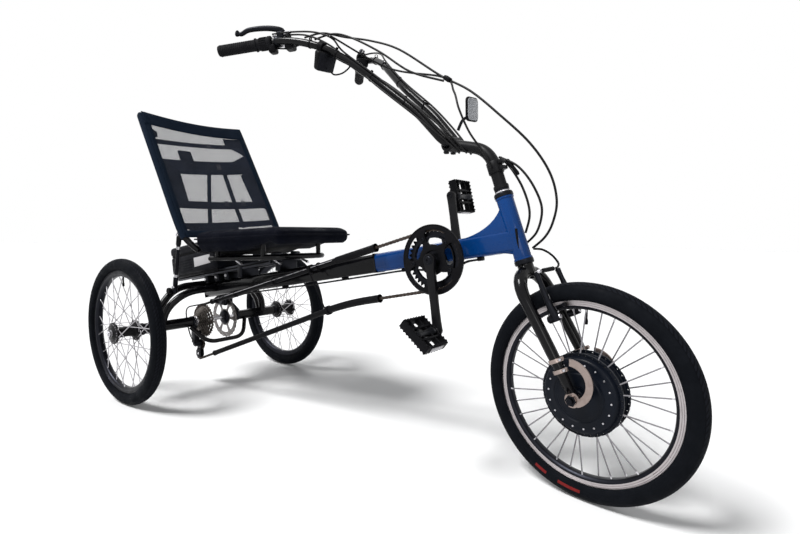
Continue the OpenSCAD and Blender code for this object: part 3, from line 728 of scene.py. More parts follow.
def make_finishes(colours):
    FINISH.update({
        "blue_paint": paint("blue_paint", colours.front_paint, shade(colours.front_paint, 0.72),
                            0.2, 0.34, 0.2),
        "black_paint": paint("black_paint", colours.rear_paint, linear(7, 7, 9), 0.14, 0.26, 0.16),
        "black_matte": plastic("black_matte", linear(12, 12, 15), linear(34, 35, 40), 0.34, 0.52, 520, 0.14,
                               0.14),
        "black_metal": metal("black_metal", linear(31, 32, 36), linear(17, 17, 19), 0.3, 0.5, scale=420,
                             depth=0.12),
        "dark_alloy": metal("dark_alloy", linear(66, 67, 72), linear(36, 36, 40), 0.34, 0.55, (6, 1, 1), 300,
                            0.14),
        "black_plastic": plastic("black_plastic", linear(13, 13, 16), linear(33, 33, 37), 0.4, 0.62),
        "battery_case": plastic("battery_case", linear(14, 15, 21), linear(31, 32, 40), 0.46, 0.66, 380, 0.3),
        "seat_cover": seat_cloth("seat_cover", colours.seat_cloth, linear(15, 18, 30)),
        "seat_hem": seat_cloth("seat_hem", colours.seat_webbing, linear(38, 50, 66), 1.5, 0.7),
        "seat_mesh": open_mesh("seat_mesh", colours.mesh_thread),
        "tyre": tyre_rubber("tyre_rubber", colours, ((0.6695, 0.6915), (0.7135, 0.7520))),
        "rear_tyre": tyre_rubber("rear_tyre_rubber", colours, ()),
        "silver_rim": metal("silver_rim", linear(182, 176, 177), linear(138, 130, 130), 0.24, 0.4, (1, 14, 1),
                            500, 0.1),
        "black_rim": metal("black_rim", linear(34, 35, 40), linear(20, 20, 23), 0.3, 0.45, scale=500),
        "spoke_steel": metal("spoke_steel", linear(188, 186, 190), linear(120, 116, 116), 0.26, 0.42, scale=700),
        "dark_spokes": metal("dark_spokes", linear(138, 136, 140), linear(84, 82, 84), 0.3, 0.45, scale=700),
        "motor_case": paint("motor_case", linear(11, 17, 27), linear(8, 11, 18), 0.34, 0.46, 0.04),
        "chain_steel": metal("chain_steel", linear(72, 65, 61), linear(30, 26, 23), 0.46, 0.64, scale=500,
                             stain=0.9),
        "sprocket_steel": metal("sprocket_steel", linear(122, 116, 111), linear(60, 54, 50), 0.3, 0.5, scale=400,
                                stain=0.8),
        "bright_steel": metal("bright_steel", linear(206, 205, 209), linear(150, 146, 146), 0.2, 0.36, scale=400),
        "grip_rubber": grip_rubber_finish(),
        "rotor_steel": metal("rotor_steel", linear(112, 108, 107), linear(70, 64, 60), 0.26, 0.44, scale=300),
        "torque_plate": metal("torque_plate", linear(156, 142, 136), linear(108, 94, 88), 0.3, 0.46, scale=400),
        "reflector_lens": lens_finish(),
        "cable_cover": plastic("cable_cover", linear(10, 10, 12), linear(26, 26, 30), 0.34, 0.5, 900, 0.06, 0.16),
        "screen": screen_finish(),
        "label": plastic("label", linear(206, 204, 206), linear(176, 172, 172), 0.4, 0.55, 500, 0.06),
        "window": plastic("window", linear(196, 194, 198), linear(150, 146, 146), 0.25, 0.4, 500, 0.1),
        "inner_black": plastic("inner_black", linear(10, 10, 11), linear(22, 22, 24), 0.6, 0.8),
    })
    for node, obj in frame["nodes"].items():
        finish_of(obj, NODE_FINISH[node])


# ------------------------------------------------------------------ settings

def colour_setting(name, description, red, green, blue):
    return FloatVectorProperty(name=name, description=description, size=4, subtype="COLOR",
                               default=linear(red, green, blue), min=0, max=1)


class TrikeColours(bpy.types.PropertyGroup):
    front_paint: colour_setting("Front paint", "Paint of the front boom and head tube", 5, 60, 124)
    rear_paint: colour_setting("Rear paint", "Paint of the rear boom, hoops and axle tubes", 10, 10, 13)
    seat_cloth: colour_setting("Seat cover", "Cloth of the seat cushion", 7, 9, 17)
    seat_webbing: colour_setting("Webbing", "Hems and straps of the back rest", 15, 25, 38)
    mesh_thread: colour_setting("Mesh thread", "Thread of the back rest's open mesh", 29, 34, 46)
    tyre_rubber: colour_setting("Tyre rubber", "Rubber of the three tyres", 14, 16, 20)
    stripe: colour_setting("Stripe", "Plain stripe on the tyres' sides", 116, 36, 36)


class TrikeSizes(bpy.types.PropertyGroup):
    tyre_r: FloatProperty(name="Tyre radius", description="Outer radius of the tyres, in millimetres",
                          default=250.0, min=230, max=300)
    tyre_w: FloatProperty(name="Tyre width", description="Width of the tyres, in millimetres",
                          default=47.0, min=38, max=54)
    motor_screws: IntProperty(name="Motor screws", description="Screws round each cover of the hub motor",
                              default=18, min=6, max=24)
    chain_pitch: FloatProperty(name="Chain pitch", description="Distance between the chain's pins, in millimetres",
                               default=12.7, min=12.0, max=13.5)
    ring_teeth: IntProperty(name="Chainring teeth", description="Teeth of the chainring",
                            default=38, min=30, max=46)
    hem_width: FloatProperty(name="Hem width", description="Width of the back rest's side hems, in millimetres",
                             default=27.0, min=15, max=70)
    swell: FloatProperty(name="Cushion swell", description="Farthest that the cushion may bulge, in millimetres",
                         default=9.0, min=3, max=16)


# ------------------------------------------------------------------ wheels

RIM_IN = 190.0
BEAD = 211.0
SPOKES = 36
CROSSING = 62.0
HUB_R = 30.0


def spoke_angle(k):
    """Angle of a spoke's end at the rim, in degrees."""
    return k * 360 / SPOKES


def spoke_lean(k):
    """Flange that a spoke goes to, 1 or -1, and the way that it leans."""
    return (1 if k % 2 == 0 else -1), (1 if k // 2 % 2 == 0 else -1)


def tyre_shape(r, w):
    """One tyre with a UV map: U once round the wheel, V across the section."""
    c = w / 2
    middle = r - c
    outline = []
    for i in range(33):
        a = radians(-38 + i * 256 / 32)
        outline.append((middle + c * sin(a), c * cos(a)))
    outline = [(BEAD - 2.4, 11.2), (BEAD + 0.4, 12.6)] + outline + [(BEAD + 0.4, -12.6), (BEAD - 2.4, -11.2)]
    obj = spun(outline, 144, "tyre")
    mesh = obj.data
    layer = new_uv_map(mesh)
    for poly in mesh.polygons:
        centre = atan2(poly.center.z, poly.center.x) / (2 * pi) % 1
        for loop in poly.loop_indices:
            co = mesh.vertices[mesh.loops[loop].vertex_index].co
            u = atan2(co.z, co.x) / (2 * pi) % 1
            if u - centre > 0.5:
                u -= 1
            elif centre - u > 0.5:
                u += 1
            across = atan2(hypot(co.x, co.z) - middle * MM, co.y) / pi
            across += 2 if across < -0.5 else 0
            layer[loop].uv = (u, across)
    return obj


def nipples(finish):
    """Ring of spoke nipples just inside the rim."""
    outline = [(0, -5.5), (1.7, -5.5), (1.9, -4), (1.9, 3), (3.1, 4.5), (3.1, 6), (0, 6)]
    one = put(spun(outline, 8, finish), turn(90, "X"))
    places = []
    for k in range(SPOKES):
        a = radians(spoke_angle(k))
        side, way = spoke_lean(k)
        at = Vector(((RIM_IN - 1) * cos(a), side * 4.2 + way * 1.6, (RIM_IN - 1) * sin(a)))
        out = Vector((cos(a), -side * 0.16, sin(a)))
        places.append(aimed(at, out))
    return repeated(one, places)


def valve():
    """Valve stem, pointing to the hub from the top of the rim."""
    outline = [(0, 0), (4.2, 0), (4.2, 3), (2.6, 4), (2.6, 24), (3.6, 25), (3.6, 34), (2.6, 36), (0, 36)]
    one = put(spun(outline, 12, "black_plastic"), turn(90, "X"))
    return put(one, aimed(Vector((0, 0, RIM_IN + 2)), (0, 0, -1)))


def rim_shape(track_finish, inner_finish):
    """Double-walled rim with two wear grooves in each brake track."""
    half = 12.5
    side = [(RIM_IN, 5.0), (RIM_IN + 0.6, 7.0), (RIM_IN + 5, half - 1.2), (RIM_IN + 8.6, half), (202.0, half),
            (202.4, half - 0.9), (203.0, half), (206.4, half), (206.8, half - 0.9), (207.4, half),
            (BEAD - 0.8, half), (BEAD, half - 0.5), (BEAD - 0.2, half - 2.2), (205, 9.6), (201.5, 5.5)]
    outline = both_sides(side)
    obj = spun(outline, 120, inner_finish)
    obj.data.materials.append(FINISH[track_finish])
    for poly in obj.data.polygons:
        r = hypot(poly.center.x, poly.center.z) / MM
        if abs(poly.center.y) / MM > half - 0.75 and r > RIM_IN + 7.4:
            poly.material_index = 1
    return obj


class TRIKE_OT_tyres(bpy.types.Operator):
    """Tyres with slotted treads and plain stripes"""
    bl_idname = "trike.tyres"
    bl_label = "Tyres"

    def execute(self, context):
        sizes = context.scene.trike_sizes
        pattern = tyre_shape(sizes.tyre_r, sizes.tyre_w)
        for side, place in WHEEL_PLACE.items():
            tyre = finish_of(copy_of(pattern, place), "tyre" if side == "front" else "rear_tyre")
            ready(tyre, side + "_tread_tyre", side + "_wheel", side + "_tyre", 60)
        bpy.data.objects.remove(pattern)
        return {"FINISHED"}


class TRIKE_OT_rims(bpy.types.Operator):
    """Rims with brake tracks, spoke nipples and valves"""
    bl_idname = "trike.rims"
    bl_label = "Rims"

    def execute(self, context):
        for side, place in WHEEL_PLACE.items():
            front = side == "front"
            rim = rim_shape("silver_rim" if front else "black_rim", "black_rim")
            parts = joined([rim, nipples("bright_steel"), valve()])
            ready(put(parts, place), side + "_wheel_rim", side + "_wheel",
                  side + "_rim")
        return {"FINISHED"}


def spoke_ring(hub_r, flange_y, lean, spread, radius, finish):
    """Spokes with thicker heads, leaning both ways from two flanges."""
    parts = []
    for k in range(SPOKES):
        side, way = spoke_lean(k)
        a, b = radians(spoke_angle(k)), radians(spoke_angle(k) + way * lean)
        foot = Vector((hub_r * cos(b), side * flange_y + way * spread, hub_r * sin(b)))
        top = Vector(((RIM_IN + 1) * cos(a), side * 3.5 + way * 1.6, (RIM_IN + 1) * sin(a)))
        parts.append(tube([foot, foot.lerp(top, 0.03), foot.lerp(top, 0.5), top],
                          [radius * 1.25, radius, radius, radius], finish, 8))
    return joined(parts)


class TRIKE_OT_spokes(bpy.types.Operator):
    """Straight-pull pattern at the motor and crossed spokes at the rear hubs"""
    bl_idname = "trike.spokes"
    bl_label = "Spokes"

    def execute(self, context):
        front = spoke_ring(92, 17, 3, 0.4, 1.6, "dark_spokes")
        ready(put(front, WHEEL_PLACE["front"]), "front_spoke_set", "front_wheel", "front_spokes")
        for side in ("right", "left"):
            rear = spoke_ring(HUB_R, 36, CROSSING, 2, 1.5, "spoke_steel")
            ready(put(rear, WHEEL_PLACE[side]), side + "_spoke_set", side + "_wheel",
                  side + "_spokes")
        return {"FINISHED"}


def motor_flange():
    """Notched spoke flange of the hub motor."""
    steps = 8 * SPOKES
    outline = [flat_polar(94 - 0.8 * max(0.0, cos(2 * pi * i * SPOKES / steps)) ** 3, i * 360 / steps)
               for i in range(steps)]
    holes = [disc(1.7, 8, *flat_polar(90.3, spoke_angle(k) + 5)) for k in range(SPOKES)]
    return plate([outline, disc(80, 72)] + holes, 5.6, "motor_case", 0.8)


class TRIKE_OT_hub_motor(bpy.types.Operator):
    """Hub motor with ridged covers, notched flanges and cover screws"""
    bl_idname = "trike.hub_motor"
    bl_label = "Hub motor"

    def execute(self, context):
        count = context.scene.trike_sizes.motor_screws
        half = [(5.2, 36), (12, 36), (13.5, 34.8), (13.5, 33.6), (21, 33.2), (22.5, 34.6), (26, 34.9), (28, 34),
                (50, 33.2), (52, 31.8), (57, 31.6), (59, 33.0), (62, 32.6), (66, 31.2), (75, 30.4), (79, 30.2),
                (82.5, 28.8), (84.6, 26.4), (86, 22), (87, 20.4), (87.5, 13), (86, 12)]
        body = spun(both_sides(half), 96, "motor_case")
        parts = [body]
        for side in (-1, 1):
            parts.append(put(motor_flange(), shift(0, side * 17, 0)))
            screw = screw_head(2.2, 1.6, steps=12)
            places = [aimed(polar(72.5, k * 360 / count, side * 30.4), (0.02 * cos(2 * pi * k / count), side, 0))
                      for k in range(count)]
            parts.append(repeated(screw, places))
        motor = put(joined(parts), WHEEL_PLACE["front"])
        ready(motor, "motor_with_covers", "front_wheel", "hub_motor", 30)
        return {"FINISHED"}


def rear_hub(bore):
    half = [(bore, 45), (13, 45), (14.5, 43.5), (19, 43), (21, 41.5), (30, 40), (35, 39.4), (36, 38.4),
            (36, 34.4), (35, 33.4), (30, 33), (22, 29), (19, 22), (17.5, 8)]
    return spun(both_sides(half), 48, "black_matte")


class TRIKE_OT_rear_hubs(bpy.types.Operator):
    """Rear hubs with dust caps, washers and axle nuts"""
    bl_idname = "trike.rear_hubs"
    bl_label = "Rear hubs"

    def execute(self, context):
        for side, s in (("right", -1), ("left", 1)):
            hub = rear_hub(7.6 if side == "right" else 7.7)
            heads = screw_head(2.2, 1.6, "dark_spokes", steps=8)
            places = []
            for k in range(SPOKES):
                face, way = spoke_lean(k)
                places.append(aimed(polar(HUB_R, spoke_angle(k) + way * CROSSING, face * 39.4), (0, face, 0)))
            parts = joined([hub, repeated(heads, places)])
            ready(put(parts, WHEEL_PLACE[side]), side + "_hub_shell", side + "_wheel",
                  side + "_hub")
            end = WHEEL_PLACE[side] @ shift(0, s * 45.4, 0)
            washer = put(pin(12, 1.8, "bright_steel", 0.3, 24, bore=7.8), turn(90, "X"))
            nut = hex_nut(11.5, 7.0, "bright_steel", 0.5)
            nut = put(nut, aimed(Vector((0, s * 1.6, 0)), (0, s, 0)))
            rider = "right_wheel" if side == "right" else "frame"
            assembled([washer, nut], end, side + "_axle_nut", rider)
        return {"FINISHED"}


class TRIKE_OT_brake_rotor(bpy.types.Operator):
    """Brake rotor with a drilled band, curved arms and a black carrier"""
    bl_idname = "trike.brake_rotor"
    bl_label = "Brake rotor"

    def execute(self, context):
        waves, steps, depth = 24, 288, 1.1
        outer = [flat_polar(80 - depth * (1 + cos(waves * 2 * pi * i / steps)), i * 360 / steps)
                 for i in range(steps)]
        holes = [sector(33, 61, k * 60 + 7, k * 60 + 53, 6, 4) for k in range(6)]
        for k in range(48):
            holes.append(disc(2.0, 8, *flat_polar((66.5, 70.5, 74.5)[k % 3], k * 7.5)))
        band = plate([outer, disc(7.6, 32)] + holes, 1.9, "rotor_steel", 0.25)
        core = spun([(7.6, -11), (20, -11), (23, -9), (29, -2.5), (29, 2.5), (23, 9), (20, 11), (7.6, 11)], 40,
                    "black_metal")
        bolts = screw_head(3.2, 2.4, "black_metal", steps=12)
        places = [aimed(polar(25, k * 60, 4), (0, 1, 0)) for k in range(6)]
        rotor = joined([band, core, repeated(bolts, places)])
        ready(put(rotor, TRIKE @ shift(0, ROTOR_Y, AXLE_Z)), "drilled_rotor", "right_wheel",
              "brake_rotor")
        return {"FINISHED"}


# ------------------------------------------------------------------ drive

RING_R = 73.0
LINK_H = 8.8
SPROCKETS = (62, 53, 46, 40, 34, 30, 26, 22)
ROTOR_Y = 46.0
GUIDE, LOW = (-16.0, AXLE_Z - 92), (-24.0, AXLE_Z - 134)
PULLEY_R = 15.0


def chain_wheels():
    """Wheels that the chain passes: centre, radius of its middle, and turning."""
    clear = LINK_H / 2 + 0.5
    bend, way, wide = (CRANK_X - 295, AXLE_Z + 139), radians(15.5), 1200.0
    return [((CRANK_X, CRANK_Z), RING_R + clear, 1), ((0, AXLE_Z), SPROCKETS[1] + clear, 1),
            (GUIDE, PULLEY_R + clear, -1), (LOW, PULLEY_R + clear, 1),
            ((bend[0] + wide * sin(way), bend[1] - wide * cos(way)), wide, -1)]


def chain_runs():
    """Arc of each wheel of the chain, as points in the chain's plane."""
    wheels = chain_wheels()
    n = len(wheels)

    def heading(a, b):
        dx, dz = b[0][0] - a[0][0], b[0][1] - a[0][1]
        return atan2(dz, dx) + asin((a[2] * a[1] - b[2] * b[1]) / hypot(dx, dz))

    arcs = []
    for i, (centre, r, s) in enumerate(wheels):
        begin = heading(wheels[i - 1], wheels[i]) - s * pi / 2
        end = heading(wheels[i], wheels[(i + 1) % n]) - s * pi / 2
        while s * (end - begin) < 0:
            end += s * 2 * pi
        while s * (end - begin) > 2 * pi:
            end -= s * 2 * pi
        steps = max(6, ceil(abs(end - begin) * max(r, 60) / 6))
        arcs.append([Vector((centre[0] + r * cos(begin + (end - begin) * k / steps), -CHAIN_Y,
                             centre[1] + r * sin(begin + (end - begin) * k / steps))) for k in range(steps + 1)])
    return arcs


def spaced(path, pitch):
    """Points along a closed path, an even number of them, near the pitch apart."""
    path = path + [path[0]]
    lengths = [(path[i + 1] - path[i]).length for i in range(len(path) - 1)]
    count = 2 * round(sum(lengths) / pitch / 2)
    step, points, travelled, i = sum(lengths) / count, [], 0.0, 0
    for k in range(count):
        target = k * step
        while travelled + lengths[i] < target:
            travelled += lengths[i]
            i += 1
        points.append(path[i].lerp(path[i + 1], (target - travelled) / lengths[i]))
    return points


def chain_link(outer, pitch):
    """One link along X from its first pin, in the XZ plane."""
    waist, end = 3.5, 4.5
    outline = []
    for first, x, middle in ((90, 0, -waist), (-90, pitch, waist)):
        for i in range(5):
            dx, z = flat_polar(end, first + i * 45)
            outline.append((x + dx, z))
        outline.append((pitch / 2, middle))
    offset = 2.75 if outer else 1.75
    side = plate([outline], 0.9, "chain_steel", 0.15)
    parts = [put(copy_of(side), shift(0, offset, 0)), put(side, shift(0, -offset, 0))]
    for x in (0, pitch):
        r, w = (1.8, 7.0) if outer else (3.7, 2.4)
        parts.append(put(pin(r, w, "chain_steel", 0.2, 8), shift(x, 0, 0) @ turn(90, "X")))
    return joined(parts)


class TRIKE_OT_chain(bpy.types.Operator):
    """Roller chain, link by link along its run"""
    bl_idname = "trike.chain"
    bl_label = "Chain"

    def execute(self, context):
        arcs = chain_runs()
        points = spaced([p for arc in arcs for p in arc], context.scene.trike_sizes.chain_pitch)
        gap = (points[1] - points[0]).length
        links = []
        for kind in (0, 1):
            places = []
            for i in range(kind, len(points), 2):
                a, b = points[i], points[(i + 1) % len(points)]
                places.append(shift(*a) @ Matrix.Rotation(-atan2(b.z - a.z, b.x - a.x), 4, "Y"))
            links.append(repeated(chain_link(kind == 0, gap), places))
        chain = put(joined(links), TRIKE)
        ready(chain, "roller_chain", "frame", "chain")
        return {"FINISHED"}


class TRIKE_OT_chain_tubes(bpy.types.Operator):
    """Chain tubes with flared ends, sleeves, clips and the wire hanger"""
    bl_idname = "trike.chain_tubes"
    bl_label = "Chain tubes"

    def execute(self, context):
        arcs = chain_runs()
        top_from, top_to = arcs[0][-1], arcs[1][0]
        along = (top_to - top_from).normalized()
        upper = [top_from + along * d for d in (182, 188, 196, 250, 338, 342, 345, 600, 900, 1010, 1016, 1020)]
        upper_r = [12.4, 11.8, 11, 11, 11, 10.4, 9, 9, 9, 9, 9.8, 10.6]
        low_from, bend, low_to = arcs[3][-1], arcs[4], arcs[0][0]
        start = (bend[0] - low_from).normalized()
        lower = [low_from + start * d for d in (100, 104, 110)]
        lower += [bend[0] + (bend[1] - bend[0]).normalized() * d for d in (0, 24, 28)] + bend[2:]
        lower += [bend[-1] + (low_to - bend[-1]).normalized() * d for d in (34, 39, 42)]
        lower_r = [10.6, 9.8, 9, 9, 9, 11] + [11] * (len(lower) - 9) + [11, 11.8, 12.4]
        parts = []
        for path, radii in ((upper, upper_r), (lower, lower_r)):
            ring = tube(path, radii, "black_plastic", 20, caps=False)
            parts.append(applied(ring, "SOLIDIFY", thickness=1.6 * MM, offset=-1))
        tubes = put(joined(parts), TRIKE)
        ready(tubes, "flared_chain_tubes", "frame", "chain_tubes")
        rod = tube([top_from + along * d + Vector((0, -10.2, 3)) for d in (352, 500, 700, 1000)], 1.1,
                   "bright_steel", 8)
        ties = []
        for d in (420, 640, 860, 985):
            ties.append(put(spun([(9.6, -2), (12.6, -1.2), (12.8, 1.2), (9.6, 2)], 24, "black_plastic"),
                            on_line(top_from + along * d, along)))
        guide = put(joined([rod] + ties), TRIKE)
        ready(guide, "tube_guide_wire", "frame")
        return {"FINISHED"}


def chain_wheel(root, tip, teeth, thick, bore, windows, finish):
    outlines = [toothed(root, tip, teeth), disc(bore, 28)] + windows
    return plate(outlines, thick, finish, 0.3)


class TRIKE_OT_cassette(bpy.types.Operator):
    """Cassette with toothed, windowed sprockets and a lock ring"""
    bl_idname = "trike.cassette"
    bl_label = "Cassette"

    def execute(self, context):
        parts = []
        for i, r in enumerate(SPROCKETS):
            teeth = round(2 * pi * (r + 3) / 12.7)
            windows = [sector(24, r - 10, k * 60 + 8, k * 60 + 52, 4, 3) for k in range(6)] if r > 44 else []
            wheel = chain_wheel(r - 1.0, r + 4.2, teeth, 1.9, 17.8, windows, "sprocket_steel")
            parts.append(put(wheel, turn(i * 7, "Y") @ shift(0, -CHAIN_Y + 4.8 * (1 - i), 0)))
        core = spun([(7.7, -20), (16.5, -20), (18.2, -18.4), (18.2, 18.6), (16.5, 20), (7.7, 20)], 32,
                    "black_metal")
        lock = spun([(9, -2.6), (17, -2.6), (19, -1), (19, 1.2), (9, 1.2)], 24, "bright_steel")
        parts += [put(core, shift(0, -62, 0)), put(lock, shift(0, -81, 0))]
        assembled(parts, TRIKE @ shift(0, 0, AXLE_Z), "toothed_cassette", "cassette", "cassette")
        return {"FINISHED"}


class TRIKE_OT_chainring(bpy.types.Operator):
    """Chainring on a five-arm spider, with its windowed guard"""
    bl_idname = "trike.chainring"
    bl_label = "Chainring"

    def execute(self, context):
        teeth = context.scene.trike_sizes.ring_teeth
        ring = chain_wheel(RING_R - 0.5, RING_R + 7.5, teeth, 2.6, 57, [], "black_metal")
        arms = [sector(25, 58.5, k * 72 + 10 + 36, k * 72 + 62 + 36, 6, 8) for k in range(5)]
        spider = plate([disc(62, 72), disc(8.6, 24)] + arms, 5, "black_metal", 1.0)
        windows = [sector(40, 78, k * 72 + 8 + 36, k * 72 + 64 + 36, 12, 9) for k in range(5)]
        guard = plate([disc(90, 120), disc(24, 40)] + windows, 3.2, "black_plastic", 0.9)
        lip = spun([(86, 0), (90.2, -3.4), (91.2, -3.2), (91.4, 2.6), (90.6, 3.2), (87, 1.9)], 120,
                   "black_plastic")
        bolts = screw_head(5, 2.6, "black_metal", steps=16)
        places = [aimed(polar(59, k * 72 + 36, -11.0), (0, -1, 0)) for k in range(5)]
        parts = [ring, put(spider, shift(0, -3.6, 0)), put(guard, shift(0, -9, 0)), put(lip, shift(0, -9, 0)),
                 repeated(bolts, places)]
        chainring = put(joined(parts), CRANKS @ shift(0, -CHAIN_Y, 0))
        ready(chainring, "guarded_chainring", "cranks", "chainring")
        return {"FINISHED"}


def arm_shape(s):
    """Tapered crank arm hanging from the spindle, leaning out to the pedal."""
    left = [flat_polar(17, a) for a in range(-20, 201, 20)]
    low = [(13 * cos(radians(a)), -CRANK_LEN + 13 * sin(radians(a))) for a in range(190, 351, 20)]
    arm = plate([left + [(-12.4, -30), (-10.6, -120), (-11.4, -160)] + low
                 + [(11.4, -160), (10.6, -120), (12.4, -30)]], 13, "black_matte", 2.4)
    for v in arm.data.vertices:
        v.co.y += s * (72 * MM + 20 * MM * ramp(-v.co.z / (CRANK_LEN * MM)))
    cap = screwed(Vector((0, s * 78.4, 0)), (0, s, 0), 9.5, 3.2, "black_metal", 0.42, 24)
    rim = put(spun([(10, -1), (13.4, -1), (14, 0.6), (13, 1.6), (10, 1.2)], 28, "black_metal"),
              shift(0, s * 79, 0))
    eye = put(hex_nut(8.6, 1.8, "black_metal", 0.5),
              aimed(Vector((0, s * 85.6, -CRANK_LEN)), (0, -s, 0)))
    return [arm, cap, rim, eye]


def crank_place(s):
    return CRANKS @ turn(0 if s < 0 else 180, "Y")


class TRIKE_OT_cranks(bpy.types.Operator):
    """Crank arms with bolt caps, and the spindle between them"""
    bl_idname = "trike.cranks"
    bl_label = "Cranks"

    def execute(self, context):
        for side, s in (("right", -1), ("left", 1)):
            parts = arm_shape(s)
            if s < 0:
                spindle = spun([(0, -74), (8.4, -74), (8.4, 74), (0, 74)], 32, "bright_steel")
                parts.append(spindle)
            arm = put(joined(parts), crank_place(s))
            ready(arm, side + "_crank_arm", "cranks", side + "_crank")
        shell = []
        for s in (-1, 1):
            cup = spun([(9, 0), (21, 0), (21.6, -1), (21.6, -5), (17, -7), (9, -7)], 36, "black_metal")
            shell.append(put(cup, TRIKE @ shift(CRANK_X, s * 34, CRANK_Z) @ turn(0 if s > 0 else 180, "Z")
                             @ shift(0, 6, 0)))
        ready(joined(shell), "bearing_cups", "frame")
        return {"FINISHED"}


def toothed_bar(length, height, thick, teeth):
    """Cage plate with sharp teeth along both edges, in the XZ plane."""
    step, outline = length / teeth, []
    for i in range(teeth):
        x = -length / 2 + i * step
        outline += [(x, height / 2 - 3.2), (x + step * 0.3, height / 2), (x + step * 0.62, height / 2 - 3.4)]
    outline.append((length / 2, height / 2 - 3.2))
    outline += [(-x, -z) for x, z in outline]
    return plate([outline], thick, "black_plastic", 0.5)


class TRIKE_OT_pedals(bpy.types.Operator):
    """Cage pedals with toothed edges, spindles and reflectors"""
    bl_idname = "trike.pedals"
    bl_label = "Pedals"

    def execute(self, context):
        for side, s, tilt in (("right", -1, 51), ("left", 1, 89)):
            parts = []
            for y in (12, 92):
                parts.append(put(toothed_bar(94, 27, 5, 9), shift(0, s * y, 0)))
            for x in (-44.5, 44.5):
                parts.append(put(toothed_bar(80, 27, 5, 7), shift(x, s * 52, 0) @ turn(90, "Z")))
                lens = block((3.4, 50, 13), "window", 1.0, 2, (x + (3.0 if x > 0 else -3.0), s * 52, 0))
                surround = block((4.4, 56, 18), "black_plastic", 1.4, 2,
                                 (x + (1.4 if x > 0 else -1.4), s * 52, 0))
                parts += [lens, surround]
            barrel = spun([(7.2, -40), (10, -40), (13, -34), (13, -26), (9.6, -20), (9.6, 18), (12.4, 26),
                           (12.4, 36), (9, 41), (0, 41.5), (0, 38), (7.2, 38)], 24, "black_metal")
            parts.append(put(barrel, shift(0, s * 52, 0) @ turn(0 if s > 0 else 180, "Z")))
            for x in (-18, 18):
                parts.append(block((6, 78, 17), "black_plastic", 1.6, 2, (x, s * 52, 0)))
            for y in (34, 70):
                parts.append(block((86, 5, 15), "black_plastic", 1.6, 2, (0, s * y, 0)))
            axle = put(pin(6.9, 26, "bright_steel", 0.6, 20), shift(0, s * 1, 0) @ turn(90, "X"))
            parts.append(axle)
            place = crank_place(s) @ shift(0, 0, -CRANK_LEN) @ shift(0, s * 100, 0) @ turn(tilt, "Y")
            assembled(parts, place, side + "_cage_pedal", side + "_pedal", side + "_pedal")
        return {"FINISHED"}


def cage_outline(r, slim):
    """Outline round both pulleys, drawn in at its waist."""
    (x0, z0), (x1, z1) = GUIDE, LOW
    way = atan2(z1 - z0, x1 - x0)
    outline = []
    for x, z, first in ((x0, z0, way + pi / 2), (x1, z1, way - pi / 2)):
        outline += [(x + r * cos(first + i * pi / 12), z + r * sin(first + i * pi / 12)) for i in range(13)]
        outline.append(((x0 + x1) / 2 + slim * cos(first + pi), (z0 + z1) / 2 + slim * sin(first + pi)))
    return outline


